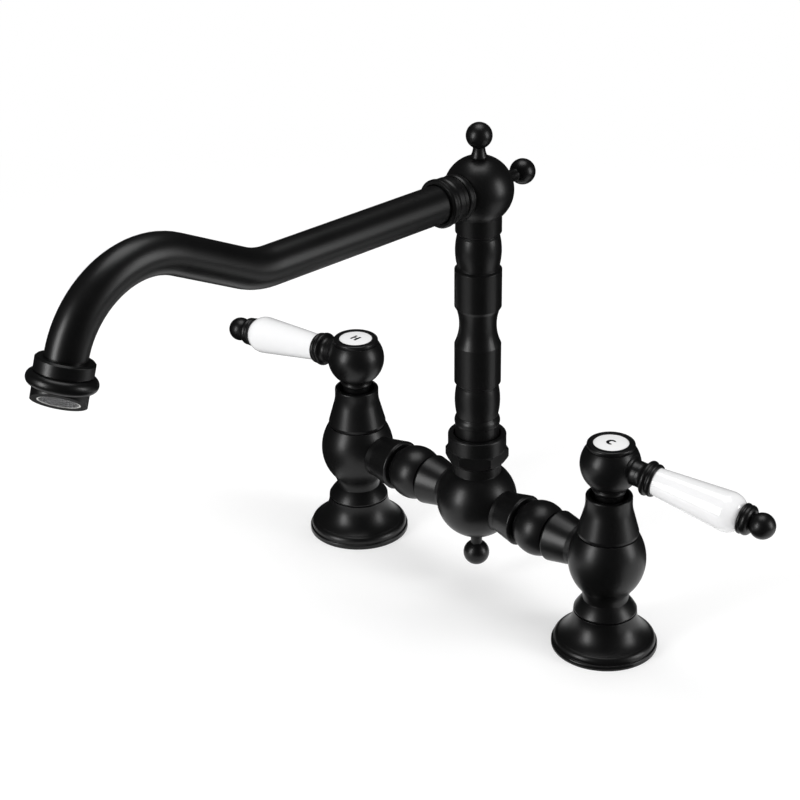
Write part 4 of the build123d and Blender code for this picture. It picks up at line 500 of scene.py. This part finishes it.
def floor_material():
    """Pale floor: lit near the object, so it keeps the shadow, and plain white further out."""
    material = bpy.data.materials.new("floor")
    material.use_nodes = True
    tree = material.node_tree
    tree.nodes.clear()
    new, link = tree.nodes.new, tree.links.new
    output = new("ShaderNodeOutputMaterial")
    matt = new("ShaderNodeBsdfDiffuse")
    matt.inputs["Color"].default_value = (FLOOR_COLOUR, FLOOR_COLOUR, FLOOR_COLOUR, 1)
    shown_matt = new("ShaderNodeBsdfDiffuse")
    place = new("ShaderNodeTexCoord")
    speckle = new("ShaderNodeTexNoise")
    speckle.inputs["Scale"].default_value = SPECKLE_SCALE
    link(place.outputs["Object"], speckle.inputs["Vector"])
    tone = new("ShaderNodeMapRange")
    tone.inputs["To Min"].default_value = FLOOR_SHOWN - SPECKLE
    tone.inputs["To Max"].default_value = FLOOR_SHOWN + SPECKLE
    link(speckle.outputs["Fac"], tone.inputs["Value"])
    link(tone.outputs["Result"], shown_matt.inputs["Color"])
    lift = new("ShaderNodeEmission")
    lift.inputs["Strength"].default_value = FLOOR_LIFT
    lifted = new("ShaderNodeAddShader")
    link(shown_matt.outputs[0], lifted.inputs[0])
    link(lift.outputs[0], lifted.inputs[1])
    white = new("ShaderNodeEmission")
    white.inputs["Strength"].default_value = 1.0
    distance = new("ShaderNodeVectorMath")
    distance.operation = "LENGTH"
    link(place.outputs["Object"], distance.inputs[0])
    outward = new("ShaderNodeMapRange")
    outward.interpolation_type = "SMOOTHSTEP"
    outward.inputs["From Min"].default_value = SHADOW_ZONE[0]
    outward.inputs["From Max"].default_value = SHADOW_ZONE[1]
    link(distance.outputs["Value"], outward.inputs["Value"])
    seen = new("ShaderNodeMixShader")
    link(outward.outputs["Result"], seen.inputs[0])
    link(lifted.outputs[0], seen.inputs[1])
    link(white.outputs[0], seen.inputs[2])
    both = new("ShaderNodeMixShader")
    link(shown_ray(tree), both.inputs[0])
    link(matt.outputs[0], both.inputs[1])
    link(seen.outputs[0], both.inputs[2])
    link(both.outputs[0], output.inputs["Surface"])
    return material


floor_mesh = bmesh.new()
bmesh.ops.create_grid(
    floor_mesh, x_segments=FLOOR_SQUARES, y_segments=FLOOR_SQUARES, size=FLOOR_HALF
)
floor_data = bpy.data.meshes.new("floor")
floor_mesh.to_mesh(floor_data)
floor_mesh.free()
floor = bpy.data.objects.new("floor", floor_data)
bpy.context.scene.collection.objects.link(floor)
floor_data.materials.append(floor_material())

world = bpy.data.worlds.new("studio")
bpy.context.scene.world = world
world.use_nodes = True
world_tree = world.node_tree
sky = world_tree.nodes["Background"]
sky.inputs["Color"].default_value = (1, 1, 1, 1)
level = world_tree.nodes.new("ShaderNodeMapRange")
level.inputs["To Min"].default_value = WORLD_LIGHT
level.inputs["To Max"].default_value = 1.0
world_tree.links.new(shown_ray(world_tree), level.inputs["Value"])
world_tree.links.new(level.outputs["Result"], sky.inputs["Strength"])


def level_direction(azimuth):
    """A level direction, by its azimuth from the camera's side."""
    turn = math.radians(azimuth)
    return -AHEAD * math.cos(turn) + LEVEL_RIGHT * math.sin(turn)


def dark_material():
    """An even dark glow that no light changes."""
    material = bpy.data.materials.new("dark_room")
    material.use_nodes = True
    tree = material.node_tree
    tree.nodes.clear()
    glow = tree.nodes.new("ShaderNodeEmission")
    glow.inputs["Strength"].default_value = DARK_SHADE
    output = tree.nodes.new("ShaderNodeOutputMaterial")
    tree.links.new(glow.outputs[0], output.inputs["Surface"])
    return material


def dark_card(name, rows):
    """A card that only reflections show, made of rows of points."""
    mesh = bmesh.new()
    grid = [[mesh.verts.new(point) for point in row] for row in rows]
    for low, high in zip(grid, grid[1:]):
        for i in range(len(low) - 1):
            mesh.faces.new((low[i], low[i + 1], high[i + 1], high[i]))
    data = bpy.data.meshes.new(name)
    mesh.to_mesh(data)
    mesh.free()
    data.materials.append(dark_shade)
    card = bpy.data.objects.new(name, data)
    bpy.context.scene.collection.objects.link(card)
    card.visible_camera = False
    card.visible_diffuse = False
    card.visible_transmission = False
    card.visible_shadow = False


def arc(azimuth_from, azimuth_to, distance, height):
    """Points at one distance and height, from one azimuth to the other."""
    sweep = azimuth_to - azimuth_from
    angles = [azimuth_from + sweep * i / CARD_STEPS for i in range(CARD_STEPS + 1)]
    return [level_direction(a) * distance + Vector((0, 0, height)) for a in angles]


dark_shade = dark_material()
dark_card(
    "dark_room",
    [
        arc(0, 360, ROOM_RADIUS, 0),
        arc(0, 360, ROOM_RADIUS, ROOM_HEIGHT),
        arc(0, 360, ROOM_TOP_RADIUS, ROOM_HEIGHT),
    ],
)
for name, azimuth_from, azimuth_to, near, far in FLOOR_CARDS:
    dark_card(name, [arc(azimuth_from, azimuth_to, edge, CARD_HEIGHT) for edge in (near, far)])

for name, azimuth, elevation, distance, width, height, radiance in LAMPS:
    lamp = bpy.data.lights.new(name, "AREA")
    lamp.shape = "RECTANGLE"
    lamp.size = width
    lamp.size_y = height
    # A lamp's radiance is its energy over four times its area.
    lamp.energy = radiance * 4 * width * height
    rise = math.radians(elevation)
    outward = level_direction(azimuth) * math.cos(rise) + Vector((0, 0, 1)) * math.sin(rise)
    box = bpy.data.objects.new(name, lamp)
    box.location = LAMP_AIM + outward * distance
    box.rotation_mode = "QUATERNION"
    box.rotation_quaternion = (-outward).to_track_quat("-Z", "Y")
    bpy.context.scene.collection.objects.link(box)
